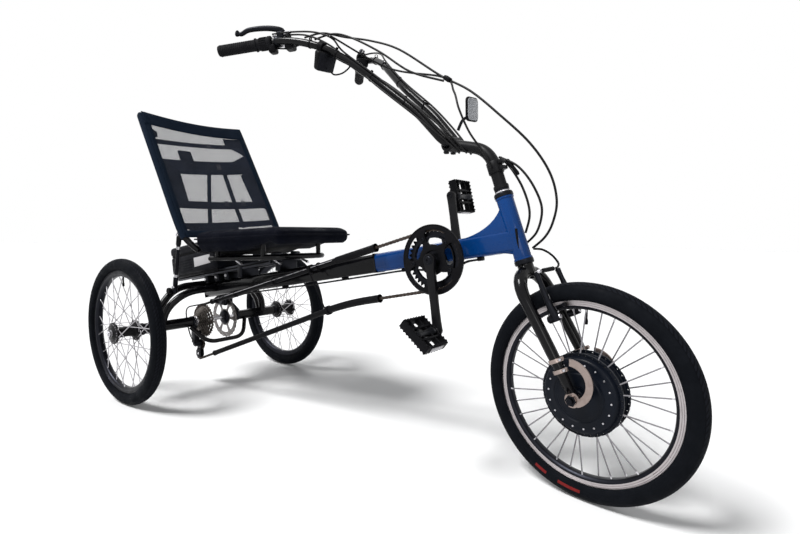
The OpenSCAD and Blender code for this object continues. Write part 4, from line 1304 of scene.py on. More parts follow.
class TRIKE_OT_derailleur(bpy.types.Operator):
    """Derailleur with its cage, jockey wheels, parallelogram and cable loop"""
    bl_idname = "trike.derailleur"
    bl_label = "Derailleur"

    def execute(self, context):
        parts = []
        mid = ((GUIDE[0] + LOW[0]) / 2, (GUIDE[1] + LOW[1]) / 2)
        for y in (-6.6, 6.6):
            cage = plate([cage_outline(16, 10), disc(5.5, 12, mid[0] + 1, mid[1])], 2, "black_metal", 0.3)
            parts.append(put(cage, shift(0, -CHAIN_Y + y, 0)))
        for x, z in (GUIDE, LOW):
            holes = [disc(1.9, 8, *flat_polar(8.6, k * 72)) for k in range(5)]
            wheel = plate([toothed(13, 17.6, 11, 0.7), disc(3.2, 12)] + holes, 3, "black_plastic", 0.4)
            parts.append(put(wheel, shift(x, -CHAIN_Y, z)))
            cap = spun([(0, -3.4), (6, -3.4), (6.6, -2), (6.6, 2), (6, 3.4), (0, 3.4)], 20, "dark_alloy")
            bolt = screw_head(4, 2.2, "bright_steel", steps=14)
            parts += [put(cap, shift(x, -CHAIN_Y, z)),
                      put(bolt, aimed(Vector((x, -CHAIN_Y - 7.6, z)), (0, -1, 0)))]
        knuckle = put(pin(11.5, 22, "black_metal", 1.6, 24), shift(GUIDE[0] + 2, -CHAIN_Y - 18, GUIDE[1] + 2)
                      @ turn(90, "X"))
        links = []
        for y, r in ((-29, 7.5), (-16, 6.5)):
            a, b = Vector((-12, 0, GUIDE[1] + 6)), Vector((-8, 0, AXLE_Z - 40))
            bar = tube([a + Vector((0, -CHAIN_Y + y, 0)), a.lerp(b, 0.5) + Vector((-5, -CHAIN_Y + y + 4, 0)),
                        b + Vector((0, -CHAIN_Y + y + 12, 0))], [r, r * 0.8, r], "black_metal", 12)
            links.append(bar)
        housing = block((26, 17, 42), "black_plastic", 4, 3, (-13, -CHAIN_Y - 25, AXLE_Z - 66))
        for v in housing.data.vertices:
            v.co.x += (v.co.z - (AXLE_Z - 66) * MM) * 0.18
        hanger = plate([[(-17, -58), (4, -72), (9, -50), (12, -14), (-12, -14), (-16, -30)]], 6, "black_metal",
                       0.8)
        parts += [knuckle, housing, put(hanger, shift(0, -CHAIN_Y - 37, AXLE_Z))] + links
        for at, r in (((-9, -84, AXLE_Z - 42), 6.5), ((-14, -80, GUIDE[1] + 2), 5.5),
                      ((0, -91, AXLE_Z - 20), 5.5)):
            parts.append(screwed(Vector(at), (0, -1, 0), r, 3.6, "dark_alloy", 0.55, 16))
        barrel = spun([(3, -9), (5.4, -9), (5.4, -2), (4.2, 0), (4.2, 7), (3, 9)], 14, "black_plastic")
        parts.append(put(barrel, on_line(Vector((-32, -CHAIN_Y - 24, AXLE_Z - 74)), (-1, 0, 0.2))))
        assembled(parts, TRIKE, "rear_derailleur", "frame", "derailleur")
        loop = flowing([(-38, -74, AXLE_Z - 73), (-52, -72, AXLE_Z - 66), (-68, -70, AXLE_Z - 44),
                        (-72, -74, AXLE_Z - 10), (-60, -84, AXLE_Z + 28), (-30, -92, AXLE_Z + 52),
                        (6, -84, AXLE_Z + 62), (40, -62, AXLE_Z + 70), (76, -34, AXLE_Z + 84),
                        (110, -14, AXLE_Z + 96)], 8)
        ready(put(tube(loop, 2.5, "cable_cover", 10), TRIKE), "shift_housing_loop", "frame")
        return {"FINISHED"}


class TRIKE_OT_rear_brake(bpy.types.Operator):
    """Rear disc caliper with its bolts, arm and bracket"""
    bl_idname = "trike.rear_brake"
    bl_label = "Rear disc caliper"

    def execute(self, context):
        parts = []
        for s in (-1, 1):
            half = block((60, 15.5, 40), "black_metal", 5, 3, (0, s * 11.6, 0))
            parts.append(half)
            parts.append(put(pin(12.5, 4, "dark_alloy", 1.2, 24), shift(2, s * 20, -3) @ turn(90, "X")))
        parts.append(block((44, 26, 9), "black_metal", 2.4, 2, (0, 0, 16.5)))
        for x in (-22, 22):
            parts.append(put(screw_head(4.4, 4, "bright_steel"), shift(x, 10, 20)))
        arm = plate([[(-6, -8), (8, -10), (12, 0), (8, 30), (-2, 34), (-8, 24)]], 5, "black_metal", 0.8)
        parts.append(put(arm, shift(4, 24, 2)))
        parts.append(screwed(Vector((4, 27, 0)), (0, 1, 0), 6, 3.5, "bright_steel"))
        strut = tube([(10, 14, -8), (8, 38, -28), (6, 57, -50)], [8, 6.5, 8], "black_metal", 14)
        parts.append(strut)
        assembled(parts, TRIKE @ shift(0, ROTOR_Y, AXLE_Z + 70), "disc_caliper", "frame",
                  "rear_brake_caliper")
        hose = flowing([(-2, 70, AXLE_Z + 103), (-8, 66, AXLE_Z + 118), (16, 52, AXLE_Z + 134),
                        (60, 26, AXLE_Z + 118), (96, 12, AXLE_Z + 96)], 8)
        ready(put(tube(hose, 2.4, "cable_cover", 10), TRIKE), "rear_brake_hose", "frame")
        return {"FINISHED"}


# ------------------------------------------------------------------ frame

def bead_ring(r, thick, finish, squash=1.0):
    """Weld bead or band round a tube along Y."""
    outline = [(r + thick * cos(radians(a)), thick * squash * sin(radians(a))) for a in range(0, 360, 45)]
    return spun(outline, 36, finish)


def hoop_path(x_top, x_end, top_z, side):
    right = [Vector((x_end, -side, AXLE_Z + 11)), Vector((x_end + (x_top - x_end) * 0.4, -side + 14,
                                                          AXLE_Z + 70)), Vector((x_top, -side + 78, top_z - 4)),
                                                          Vector((x_top, -40, top_z))]
    return right + mirrored(right[::-1])


class TRIKE_OT_frame(bpy.types.Operator):
    """Painted frame with welds, end caps, cable clips and headset rings"""
    bl_idname = "trike.frame"
    bl_label = "Frame"

    def execute(self, context):
        boom = cad_copy("front_boom", "blue_paint", 1.6, 3, 40)
        ready(boom, "blue_front_boom", "frame", "front_boom", 30)
        ready(cad_copy("rear_boom", "black_paint", 0.6, 2, 50), "black_rear_boom", "frame",
              "rear_boom", 30)
        side = HALF_TRACK - 118
        hoops = [tube(bent(hoop_path(-20, -13.5, AXLE_Z + 138, side), 70, 10), 13, "black_paint", 24),
                 tube(bent(hoop_path(42, 13.5, AXLE_Z + 126, side - 6), 80, 10), 13, "black_paint", 24),
                 tube(bent([(16, 128, AXLE_Z - 16), (50, 96, AXLE_Z - 78), (50, -62, AXLE_Z - 78),
                            (16, -112, AXLE_Z - 16)], 40, 10), 8, "black_paint", 18)]
        for s in (-1, 1):
            for x, out in ((-13.5, side), (13.5, side - 6)):
                foot = bead_ring(12.5, 2.4, "black_paint", 1.6)
                hoops.append(put(foot, shift(x, s * out, AXLE_Z + 16) @ turn(90, "X")))
        assembled(hoops, TRIKE, "welded_hoops", "frame", "rear_hoops")
        axles = []
        for s in (-1, 1):
            axle_tube = spun([(7.6, -100), (18.2, -100), (19, -99), (19, 99), (18.2, 100), (7.6, 100)], 48,
                             "black_paint")
            axles.append(put(axle_tube, shift(0, s * 192, 0)))
            for y in (97, 287):
                collar = spun([(18.6, -5), (21, -4.4), (21.4, 4.4), (18.6, 5)], 40, "black_metal")
                axles.append(put(collar, shift(0, s * y, 0)))
        stub = spun([(0, 292), (7.5, 292), (7.5, 390), (5, 390), (5, 399.4), (4.4, 400), (0, 400)], 32,
                    "bright_steel")
        axles.append(stub)
        assembled(axles, TRIKE @ shift(0, 0, AXLE_Z), "machined_axle_tubes", "frame", "axle_tubes")
        self.headset()
        self.trim()
        return {"FINISHED"}

    def headset(self):
        rings = []
        for at, s in ((HEAD_LOW, -1), (HEAD_HIGH, 1)):
            cup = spun([(17, 0), (22.2, 0), (23.5, 1.4), (23.5, 8.4), (22, 11.4), (17, 11.8)], 48, "black_metal")
            rings.append(put(cup, on_line(at, STEER_AXIS * s)))
        assembled(rings, TRIKE, "headset_cups", "frame", "headset")
        lips = []
        for at in (HEAD_LOW + STEER_AXIS * 2, HEAD_HIGH - STEER_AXIS * 2):
            lips.append(put(bead_ring(21.2, 1.7, "blue_paint", 1.6), on_line(at, STEER_AXIS)))
        assembled(lips, TRIKE, "head_tube_lips", "frame")

    def trim(self):
        parts = []
        for x, depth, grow, finish in ((838, 7, 1.2, "black_paint"), (WHEELBASE - 168, 5, 0.4, "black_plastic"),
                                       (-34, 5, 0.4, "black_plastic")):
            band = block((depth, BOOM_W + 2 * grow, BOOM_H + 2 * grow), finish, 1.2, 2)
            parts.append(put(band, TRIKE.inverted() @ on_boom(x)))
        for x in (1168, 930, 700, 420):
            parts.append(put(block((12, 22, 11), "black_plastic", 2.4, 2), TRIKE.inverted() @ on_boom(x, -31)))
        assembled(parts, TRIKE, "boom_trim", "frame")


# ------------------------------------------------------------------ seat

class TRIKE_OT_seat_cushion(bpy.types.Operator):
    """Padded seat cushion, its piping and its foam base"""
    bl_idname = "trike.seat_cushion"
    bl_label = "Seat cushion"

    def outline(self, inset):
        half = 204 - inset
        end = 426 - inset
        right = [(inset - 8, -half + 22), (inset - 2, -half + 10), (14, -half + 3), (60, -half), (150, -half),
                 (250, -half + 14), (330, -half + 32), (end - 14, -half + 38), (end - 3, -half + 50),
                 (end, -half + 76)]
        return both_sides(right)

    def execute(self, context):
        inset, most = 7.0, context.scene.trike_sizes.swell * MM
        pad = plate([self.outline(inset)], 30, "seat_cover", 7)
        put(pad, shift(0, 0, 22) @ turn(-90, "X"))
        applied(pad, "REMESH", mode="VOXEL", voxel_size=0.006)
        rest = [v.co.copy() for v in pad.data.vertices]
        pick(pad)
        cloth = pad.modifiers.new("swell", "CLOTH")
        cloth.settings.quality = 5
        cloth.settings.use_pressure = True
        cloth.settings.uniform_pressure_force = 4.0
        cloth.settings.effector_weights.gravity = 0
        scene = context.scene
        for step in range(1, 21):
            scene.frame_set(step)
        shaped = pad.evaluated_get(context.evaluated_depsgraph_get())
        moved = [v.co.copy() for v in shaped.data.vertices]
        pad.modifiers.remove(cloth)
        scene.frame_set(1)
        for v, a, b in zip(pad.data.vertices, rest, moved):
            d = b - a
            v.co = a + d * min(1.0, most / d.length if d.length > 0 else 1.0)
        under, edge_h, deep_drop, lip_drop, lip_start = 22, 18, 27, 11, 345
        for v in pad.data.vertices:
            x, y, z = v.co / MM
            if z > under - 2:
                hollow = 5.0 * max(0.0, 1 - ((x - 150) / 150) ** 2) * max(0.0, 1 - (y / 150) ** 2)
                roll = 5.0 * max(0.0, (x - 340) / 76) ** 2
                v.co.z -= (hollow + roll) * MM
            if z < under:
                deep = ramp((lip_start - x) / 150) * ramp((x + 6) / 40)
                v.co.z -= deep_drop * deep * ((under - z) / edge_h) ** 0.8 * MM
            lip = lip_drop * ramp((x - lip_start) / 30)
            lowest = 2.5 - lip - deep_drop * ramp((lip_start - x) / 150)
            v.co.z = max(v.co.z - lip * max(0.0, (under - z) / edge_h) * MM, lowest * MM)
        applied(pad, "SUBSURF", levels=1, render_levels=1)
        put(pad, SEAT_PLANE)
        ready(pad, "seat_cushion", "frame", "seat_pad", 80)
        ring = [(x, y, 19) for x, y in self.outline(9.0)]
        piping = tube([Vector(p) for p in ring], 2.4, "seat_cover", 8, closed=True)
        ready(put(piping, SEAT_PLANE), "cushion_piping", "frame")
        base = plate([[(16, -8), (16, -30), (36, -38), (150, -38), (240, -16), (262, -8)]], 206, "inner_black", 6)
        ready(put(base, SEAT_PLANE), "cushion_base", "frame")
        return {"FINISHED"}


def sag(y, up):
    """How far the stretched mesh gives way, in millimetres."""
    return 13.0 * (1 - (y / 205.0) ** 2) * sin(pi * ramp((up - 10) / 545.0)) ** 0.8


def dip(y):
    """How far the top edge hangs between its corners, in millimetres."""
    return 15.0 * max(0.0, 1 - (y / 205.0) ** 2)


def cloth_panel(corners, cells, forward, thick, finish):
    """Panel between four (side, up) corners on the back rest, following its sag."""
    deselect()
    bpy.ops.mesh.primitive_grid_add(x_subdivisions=cells[0], y_subdivisions=cells[1], size=1)
    obj = bpy.context.object
    (ay, au), (by, bu), (cy, cu), (dy, du) = corners
    for v in obj.data.vertices:
        s, t = v.co.x + 0.5, v.co.y + 0.5
        y = (1 - t) * ((1 - s) * ay + s * by) + t * ((1 - s) * dy + s * cy)
        up = (1 - t) * ((1 - s) * au + s * bu) + t * ((1 - s) * du + s * cu)
        up -= dip(y) * ramp((up - 440) / 105)
        v.co = ((forward - sag(y, up)) * MM, y * MM, up * MM)
    if thick:
        applied(obj, "SOLIDIFY", thickness=thick * MM, offset=0)
        rounded(obj, min(0.7, thick / 3), 1)
    edit(obj)
    bpy.ops.mesh.normals_make_consistent(inside=False)
    done()
    return finish_of(obj, finish)


class TRIKE_OT_back_rest(bpy.types.Operator):
    """Back rest: stretched mesh, sewn hems round the tubes, straps and buckles"""
    bl_idname = "trike.back_rest"
    bl_label = "Back rest"

    def execute(self, context):
        hem = context.scene.trike_sizes.hem_width
        mesh = cloth_panel([(-207, 24), (207, 24), (207, 548), (-207, 548)], (46, 58), 12.4, 0, "seat_mesh")
        for poly in mesh.data.polygons:
            if poly.normal.x < 0:
                poly.flip()
        ready(put(mesh, BACK_REST), "back_mesh", "frame", "seat_back_mesh", 80)
        y = 209.0
        path = [(0, -y + 40, -20), (0, -y + 8, 20), (0, -y, 90), (0, -y, 550), (-8, -y + 50, 545),
                (-13, -60, 534)]
        hoop = bent([Vector(p) for p in path] + mirrored([Vector(p) for p in path[::-1]]), 30, 8)
        bars = [tube(hoop, 11, "black_paint", 20), tube([(0, -y + 40, -20), (0, y - 40, -20)], 11, "black_paint",
                                                        20)]
        assembled(bars, BACK_REST, "back_tubes", "frame", "seat_back_frame")
        hems = []
        for s in (-1, 1):
            sleeve = tube(flowing([(0.6, s * 203, 26), (0.6, s * y, 92), (0.6, s * y, 300), (0.6, s * y, 520),
                                   (0.2, s * (y - 2), 546)], 10), [13.2] * 41, "seat_hem", 18)
            hems.append(sleeve)
            hems.append(cloth_panel([(s * 208, 30), (s * (220 - hem), 34), (s * (220 - hem - 4), 545),
                                     (s * 208, 545)], (3, 40), 14.0, 2.4, "seat_hem"))
            hems.append(cloth_panel([(s * 196, 150), (s * 140, 182), (s * 132, 318), (s * 196, 352)], (8, 14),
                                    9.0, 2.0, "seat_hem"))
            seam = [(15.6 - sag(s * (222 - hem), u), s * (222 - hem), u) for u in range(40, 545, 12)]
            hems.append(tube(seam, 0.7, "seat_hem", 6))
        for corners, cells, forward in (
                ([(-208, 440), (-176, 452), (-172, 476), (-208, 505)], (6, 8), 9.0),
                ([(112, 468), (208, 452), (208, 505), (110, 500)], (8, 8), 9.0),
                ([(186, 420), (208, 372), (208, 470), (130, 452)], (8, 8), 8.4),
                ([(100, 374), (208, 350), (208, 408), (187, 420)], (8, 8), 8.6)):
            hems.append(cloth_panel(corners, cells, forward, 2.0, "seat_hem"))
        hems.append(cloth_panel([(-212, 500), (212, 500), (212, 556), (-212, 556)], (30, 5), 14.4, 2.6,
                                "seat_hem"))
        hems.append(tube(flowing([(0.4, -204, 550), (-5, -150, 543), (-9, -75, 537), (-10, 0, 535), (-9, 75, 537),
                                  (-5, 150, 543), (0.4, 204, 550)], 4), 13.4, "seat_hem", 18))
        hems.append(cloth_panel([(-204, 22), (204, 22), (204, 50), (-204, 50)], (30, 3), 14.2, 2.6, "seat_hem"))
        assembled(hems, BACK_REST, "back_hems", "frame", smooth=60)
        self.straps()
        return {"FINISHED"}

    def straps(self):
        parts = []
        for low, high, height in ((438, 476, 22), (330, 371, 62), (168, 187, 33), (75, 101, 26)):
            parts.append(cloth_panel([(-222, low - height / 2), (222, high - height / 2),
                                      (222, high + height / 2), (-222, low + height / 2)], (30, 3), -3.0, 2.2,
                                     "seat_hem"))
        for y0, y1, w in ((8, -82, 17), (74, 62, 19)):
            parts.append(cloth_panel([(y1 - w / 2, 78), (y1 + w / 2, 78), (y0 + w / 2, 340), (y0 - w / 2, 340)],
                                     (3, 24), -6.0, 2.2, "seat_hem"))
        parts.append(block((11, 52, 54), "seat_hem", 4, 3, (-12, -76, 390)))
        parts.append(cloth_panel([(-168, 44), (40, 52), (40, 84), (-168, 70)], (16, 3), -8.0, 2.2, "seat_hem"))
        outline = [(-8, -11), (8, -11), (8, 11), (-8, 11)]
        lower = [(-5, -2.5), (5, -2.5), (5, -8), (-5, -8)]
        upper = [(-5, 8), (5, 8), (5, 2.5), (-5, 2.5)]
        for at, lean in (((3, 32, 446), 0.573), ((0, 44, 350), 0.573), ((-1, 96, 186), 0.573),
                         ((-3, 20, 180), 8.594)):
            buckle = plate([outline, lower, upper], 2.6, "dark_alloy", 0.6)
            parts.append(put(buckle, shift(*at) @ turn(90, "Z") @ turn(lean, "Y")))
        assembled(parts, BACK_REST, "back_straps", "frame", smooth=60)


# ------------------------------------------------------------------ battery and rails

class TRIKE_OT_battery(bpy.types.Operator):
    """Battery case with its lid seam, ribs, lock, carrying lever and blank label"""
    bl_idname = "trike.battery"
    bl_label = "Battery"

    def execute(self, context):
        place = TRIKE.inverted() @ on_boom(-25, 130)
        parts = [block((310, 130, 78), "battery_case", 13, 4, (0, 0, -19)),
                 block((310, 130, 37), "battery_case", 13, 4, (0, 0, 39.5)),
                 block((298, 122, 6), "inner_black", 2, 2, (0, 0, 20.5))]
        for s in (-1, 1):
            for z in (-44, -34, -24, -14, -4):
                parts.append(block((140, 2.6, 4), "battery_case", 1.0, 2, (-74, s * 65, z)))
            parts.append(block((250, 2.4, 5), "battery_case", 1.0, 2, (0, s * 65, 44)))
            parts.append(block((300, 5, 9), "black_plastic", 1.6, 2, (0, s * 52, -60)))
        label = plate([[(-54, -19), (54, -15), (54, 17), (-54, 16)]], 0.8, "label", 0.2)
        parts.append(put(label, shift(69, -65.4, -17)))
        lock = put(pin(9.5, 5, "bright_steel", 0.8, 24, bore=2.4), shift(120, -65.5, 26) @ turn(90, "X"))
        port = put(pin(8, 5, "black_plastic", 1.2, 20), shift(-120, -65.5, 26) @ turn(90, "X"))
        parts += [lock, port]
        handle = tube(bent([(-150, -40, 46), (-172, -40, 58), (-172, 40, 58), (-150, 40, 46)], 16, 5), 6,
                      "black_plastic", 12)
        parts.append(handle)
        assembled(parts, TRIKE @ place, "battery_case", "frame", "battery_box")
        return {"FINISHED"}


def base_z(x):
    """Height of the seat's base tubes, x back from the seat's own corner."""
    return SEAT_Z - 50 + tan(radians(PAD_SLOPE)) * x


class TRIKE_OT_seat_rails(bpy.types.Operator):
    """Rails, clamps, quick-release levers, posts and seat stays"""
    bl_idname = "trike.seat_rails"
    bl_label = "Seat rails"

    def execute(self, context):
        slope = radians(BOOM_SLOPE)
        block_h = 27.0
        up = BOOM_H / 2 + block_h + 9
        parts = []
        for s in (-1, 1):
            middle = TRIKE.inverted() @ on_boom(105, up, s * 30)
            length = 590 / cos(slope)
            parts.append(put(block((length, 12, 18), "dark_alloy", 2, 2), middle))
            parts.append(put(block((length - 12, 3, 5), "inner_black", 0.8, 1, (0, s * 5.4, 0)), middle))
        for x in (10, 80, 142):
            middle = TRIKE.inverted() @ on_boom(x, BOOM_H / 2 + block_h / 2)
            parts.append(put(block((24, 74, block_h), "black_metal", 3, 3), middle))
            for s in (-1, 1):
                head = screw_head(5, 4, "bright_steel")
                parts.append(put(head, middle @ aimed(Vector((0, s * 37, 2)), (0, s, 0))))
        for x in SEAT_CLAMPS:
            low, high = boom_z(SEAT_X + x) + 25, base_z(x)
            parts.append(block((24, 78, high - low), "black_metal", 3, 3, (SEAT_X + x, 0, (low + high) / 2)))
            for s in (-1, 1):
                cap = block((30, 22, 30), "dark_alloy", 4, 3, (SEAT_X + x, s * 40, high + 2))
                head = screwed(Vector((SEAT_X + x + 14, s * 40, high + 2)), (1, 0, 0), 4.4, 4, "bright_steel")
                lever = tube(bent([(SEAT_X + x, s * 50, high - 4), (SEAT_X + x + 6, s * 58, high - 8),
                                   (SEAT_X + x + 44, s * 60, high - 20)], 8, 4), [6, 4.5, 4.2, 4, 4, 4, 5],
                             "bright_steel", 10)
                parts += [cap, head, lever]
        assembled(parts, TRIKE, "rails_and_clamps", "frame", "seat_rail")
        self.base_frame()
        self.stays()
        return {"FINISHED"}

    def base_frame(self):
        front = SEAT_X + 406 - 50
        side = [Vector((SEAT_X + 6, -120, base_z(6))), Vector((front - 40, -120, base_z(front - 40 - SEAT_X))),
                Vector((front, -86, base_z(front - SEAT_X)))]
        loop = bent(side + mirrored(side[::-1]), 26, 8)
        parts = [tube(loop, 9, "black_paint", 18)]
        for x in SEAT_CLAMPS:
            parts.append(tube([(SEAT_X + x, -120, base_z(x)), (SEAT_X + x, 120, base_z(x))], 8, "black_paint",
                              16))
            silver = tube([(SEAT_X + x, -112, base_z(x)), (SEAT_X + x, -62, base_z(x))], 8.6, "bright_steel", 18)
            parts.append(silver)
        for x, rise in ((50, 32), (300, 48)):
            for s in (-1, 1):
                parts.append(tube([(SEAT_X + x, s * 120, base_z(x)), (SEAT_X + x, s * 120, base_z(x) + rise)], 8,
                                  "black_paint", 14))
        long_bar = tube([(SEAT_X + 66, -98, base_z(66) + 6), (SEAT_X + 250, -98, base_z(250) + 2)], 6.5,
                        "bright_steel", 16)
        parts.append(long_bar)
        assembled(parts, TRIKE, "seat_base_tubes", "frame", "seat_base_frame")

    def stays(self):
        parts = []
        for s in (-1, 1):
            low = Vector((14, s * 168, AXLE_Z + 140))
            foot = (SEAT_X, s * 208, SEAT_Z)
            away = Vector((-cos(radians(BACK_ANGLE)), 0, -sin(radians(BACK_ANGLE)))) * 16
            rise = Vector((-sin(radians(BACK_ANGLE)), 0, cos(radians(BACK_ANGLE)))) * 51
            high = Vector(foot) + away + rise
            parts.append(tube([low - (high - low).normalized() * 8, low, high], 6.4, "black_metal", 14))
            for end, other in ((low, high), (high, low)):
                way = (other - end).normalized()
                ferrule = tube([end + way * 4, end + way * 8, end + way * 40, end + way * 46], [7.4, 8.6, 8.6, 7],
                               "black_metal", 16)
                ring = tube([end + way * 46, end + way * 58], 6.9, "bright_steel", 16)
                parts += [ferrule, ring]
            for at in (low, high):
                parts.append(screwed(at + Vector((0, s * 7, 0)), (0, s, 0), 6.4, 4, "bright_steel", steps=16))
                parts.append(put(pin(9, 12, "black_metal", 1.2, 20), shift(*at) @ turn(90, "X")))
            parts.append(tube([low - Vector((0, 0, 20)), low + Vector((0, 0, 6))], 8, "black_metal", 16))
            knob = spun([(0, -7), (9, -7), (11.5, -5), (11.5, 4), (8, 7), (0, 7)], 12, "black_plastic")
            parts.append(put(knob, shift(*(low + Vector((-12, s * 16, -14))))))
        assembled(parts, TRIKE, "seat_stays", "frame", "seat_struts")


# ------------------------------------------------------------------ steering

ON_BAR, ON_STEM = 11.2, 15.6
LEG_UP = Vector((-36, 0, 72)).normalized()
LEG_FRONT = Vector((LEG_UP.z, 0, -LEG_UP.x))
CLAMP = Vector((WHEELBASE - 375, 0, AXLE_Z + 584))


def fore(p):
    """Point measured back from the front axle and up from the axles."""
    return Vector((WHEELBASE - p[0], p[1], AXLE_Z + p[2]))


BAR = [CLAMP + Vector((0, -30, 0))] + [fore(p) for p in (
    (467, -36, 676), (592, -48, 770), (702, -84, 856), (768, -118, 897), (838, -146, 923), (898, -166, 936),
    (938, -180, 936))]
GRIP_START, GRIP_LEN = BAR[-1], 172.0
GRIP_DIR = Vector((-0.783, -0.615, -0.093)).normalized()
GRIP_END = GRIP_START + GRIP_DIR * GRIP_LEN


class TRIKE_OT_fork(bpy.types.Operator):
    """Fork with its crown, ends, torque arms and hose clamps"""
    bl_idname = "trike.fork"
    bl_label = "Fork"

    def execute(self, context):
        fork = cad_copy("fork", "black_paint")
        ready(fork, "gloss_fork", "steering", "fork", 42)
        axle = cad_copy("front_axle", "torque_plate", 0.8, 2, 45)
        ready(axle, "axle_and_torque_arms", "steering", "front_axle", 32)
        parts = []
        centre = Vector((WHEELBASE, 0, AXLE_Z))
        for s in (-1, 1):
            nut = put(hex_nut(12.5, 9, "black_metal", 0.55), aimed(centre + Vector((0, s * 62, 0)), (0, s, 0)))
            tip = spun([(0, 0), (5.6, 0), (6.8, -1.6), (6.8, -12), (0, -12)], 24, "black_metal")
            parts += [nut, put(tip, on_line(centre + Vector((0, s * 76, 0)), (0, s, 0)))]
            for d, r in ((64, 14.6), (88, 15.4)):
                at = centre + LEG_UP * d + Vector((-2, s * 59, 0))
                band = spun([(r - 1.2, -4), (r, -4.2), (r, 4.2), (r - 1.2, 4)], 32, "torque_plate")
                parts.append(put(band, on_line(at, LEG_UP)))
                lock = block((7, 12, 9), "torque_plate", 1.4, 2)
                parts.append(put(lock, aimed(at + LEG_FRONT * (r + 1) + Vector((0, s * 3, 0)), LEG_UP)))
                parts.append(screwed(at + LEG_FRONT * (r + 2) + Vector((0, s * 9, 0)), (0, s, 0), 3.4, 3,
                                     "bright_steel", steps=12))
        assembled(parts, STEERED, "axle_nuts_and_clamps", "steering")
        return {"FINISHED"}


class TRIKE_OT_front_brake(bpy.types.Operator):
    """Linear-pull brake: arms, pads, noodle, boot and bolts"""
    bl_idname = "trike.front_brake"
    bl_label = "Front brake"

    def execute(self, context):
        axle = Vector((WHEELBASE, 0, AXLE_Z))
        parts = []
        tops = []
        for s in (-1, 1):
            boss = axle + LEG_UP * 176 + Vector((0, s * 46, 0))
            low = boss + LEG_FRONT * 34
            high = low + LEG_UP * 108 + Vector((0, s * 2, 0))
            tops.append(high)
            mid = low.lerp(high, 0.5) + Vector((0, s * 4, 0))
            parts.append(tube(flowing([low - LEG_UP * 6, low.lerp(mid, 0.5) + Vector((0, s * 2, 0)), mid, high],
                                      6), [9.5] * 5 + [8.2] * 5 + [6.8] * 5 + [6, 6.2, 6.6, 6.6], "black_metal",
                                      12))
            parts.append(put(pin(9, 30, "black_metal", 1.4, 20), aimed(boss + LEG_FRONT * 30, LEG_FRONT)))
            parts.append(screwed(low + LEG_FRONT * 9, LEG_FRONT, 6, 4, "bright_steel", steps=16))
            pad = axle + LEG_UP * 196 + LEG_FRONT * 30 + Vector((0, s * 18.5, 0))
            rubber = block((50, 7, 10), "grip_rubber", 2, 2)
            holder = block((44, 5, 8), "black_metal", 1.6, 2, (0, s * 4.4, 0))
            face = Matrix.Translation(pad * MM) @ Matrix.Rotation(-atan2(LEG_FRONT.z, LEG_FRONT.x), 4, "Y")
            parts += [put(rubber, face), put(holder, face)]
            parts.append(tube([pad + Vector((0, s * 4, 0)), pad + Vector((0, s * 30, 0))], 3.2, "bright_steel",
                              12))
            parts.append(screwed(pad + Vector((0, s * 28, 0)), (0, s, 0), 5.4, 4.6, "bright_steel", steps=14))
            spring = [low + Vector((0, -s * 10, 0)) + LEG_UP * 4, low + Vector((0, -s * 9, 0)) + LEG_UP * 50,
                      mid + Vector((0, -s * 6, 0)) + LEG_UP * 10]
            parts.append(tube(spring, 1.1, "bright_steel", 8))
        left, right = tops[1], tops[0]
        cable = [left + Vector((0, 4, 2)), right + Vector((0, -6, 2))]
        parts.append(tube(cable, 1.0, "bright_steel", 8))
        boot = []
        for i in range(14):
            boot.append(left.lerp(right, 0.22 + 0.5 * i / 13) + Vector((0, 0, 2)))
        parts.append(tube(boot, [5.4, 4.2] * 7, "black_plastic", 12))
        parts.append(screwed(right + LEG_FRONT * 6, LEG_FRONT, 5, 5, "bright_steel", steps=14))
        assembled(parts, STEERED, "linear_pull_brake", "steering", "front_brake")
        noodle = flowing([left + Vector((0, -8, 2)), left + Vector((0, 2, 4)), left + Vector((-4, 12, 12)),
                          left + Vector((-18, 8, 30)), left + Vector((-34, -8, 44)), Vector((1300, 25, 566))], 8)
        ready(put(tube(noodle, 2.6, "cable_cover", 12), STEERED), "brake_noodle", "steering")
        return {"FINISHED"}


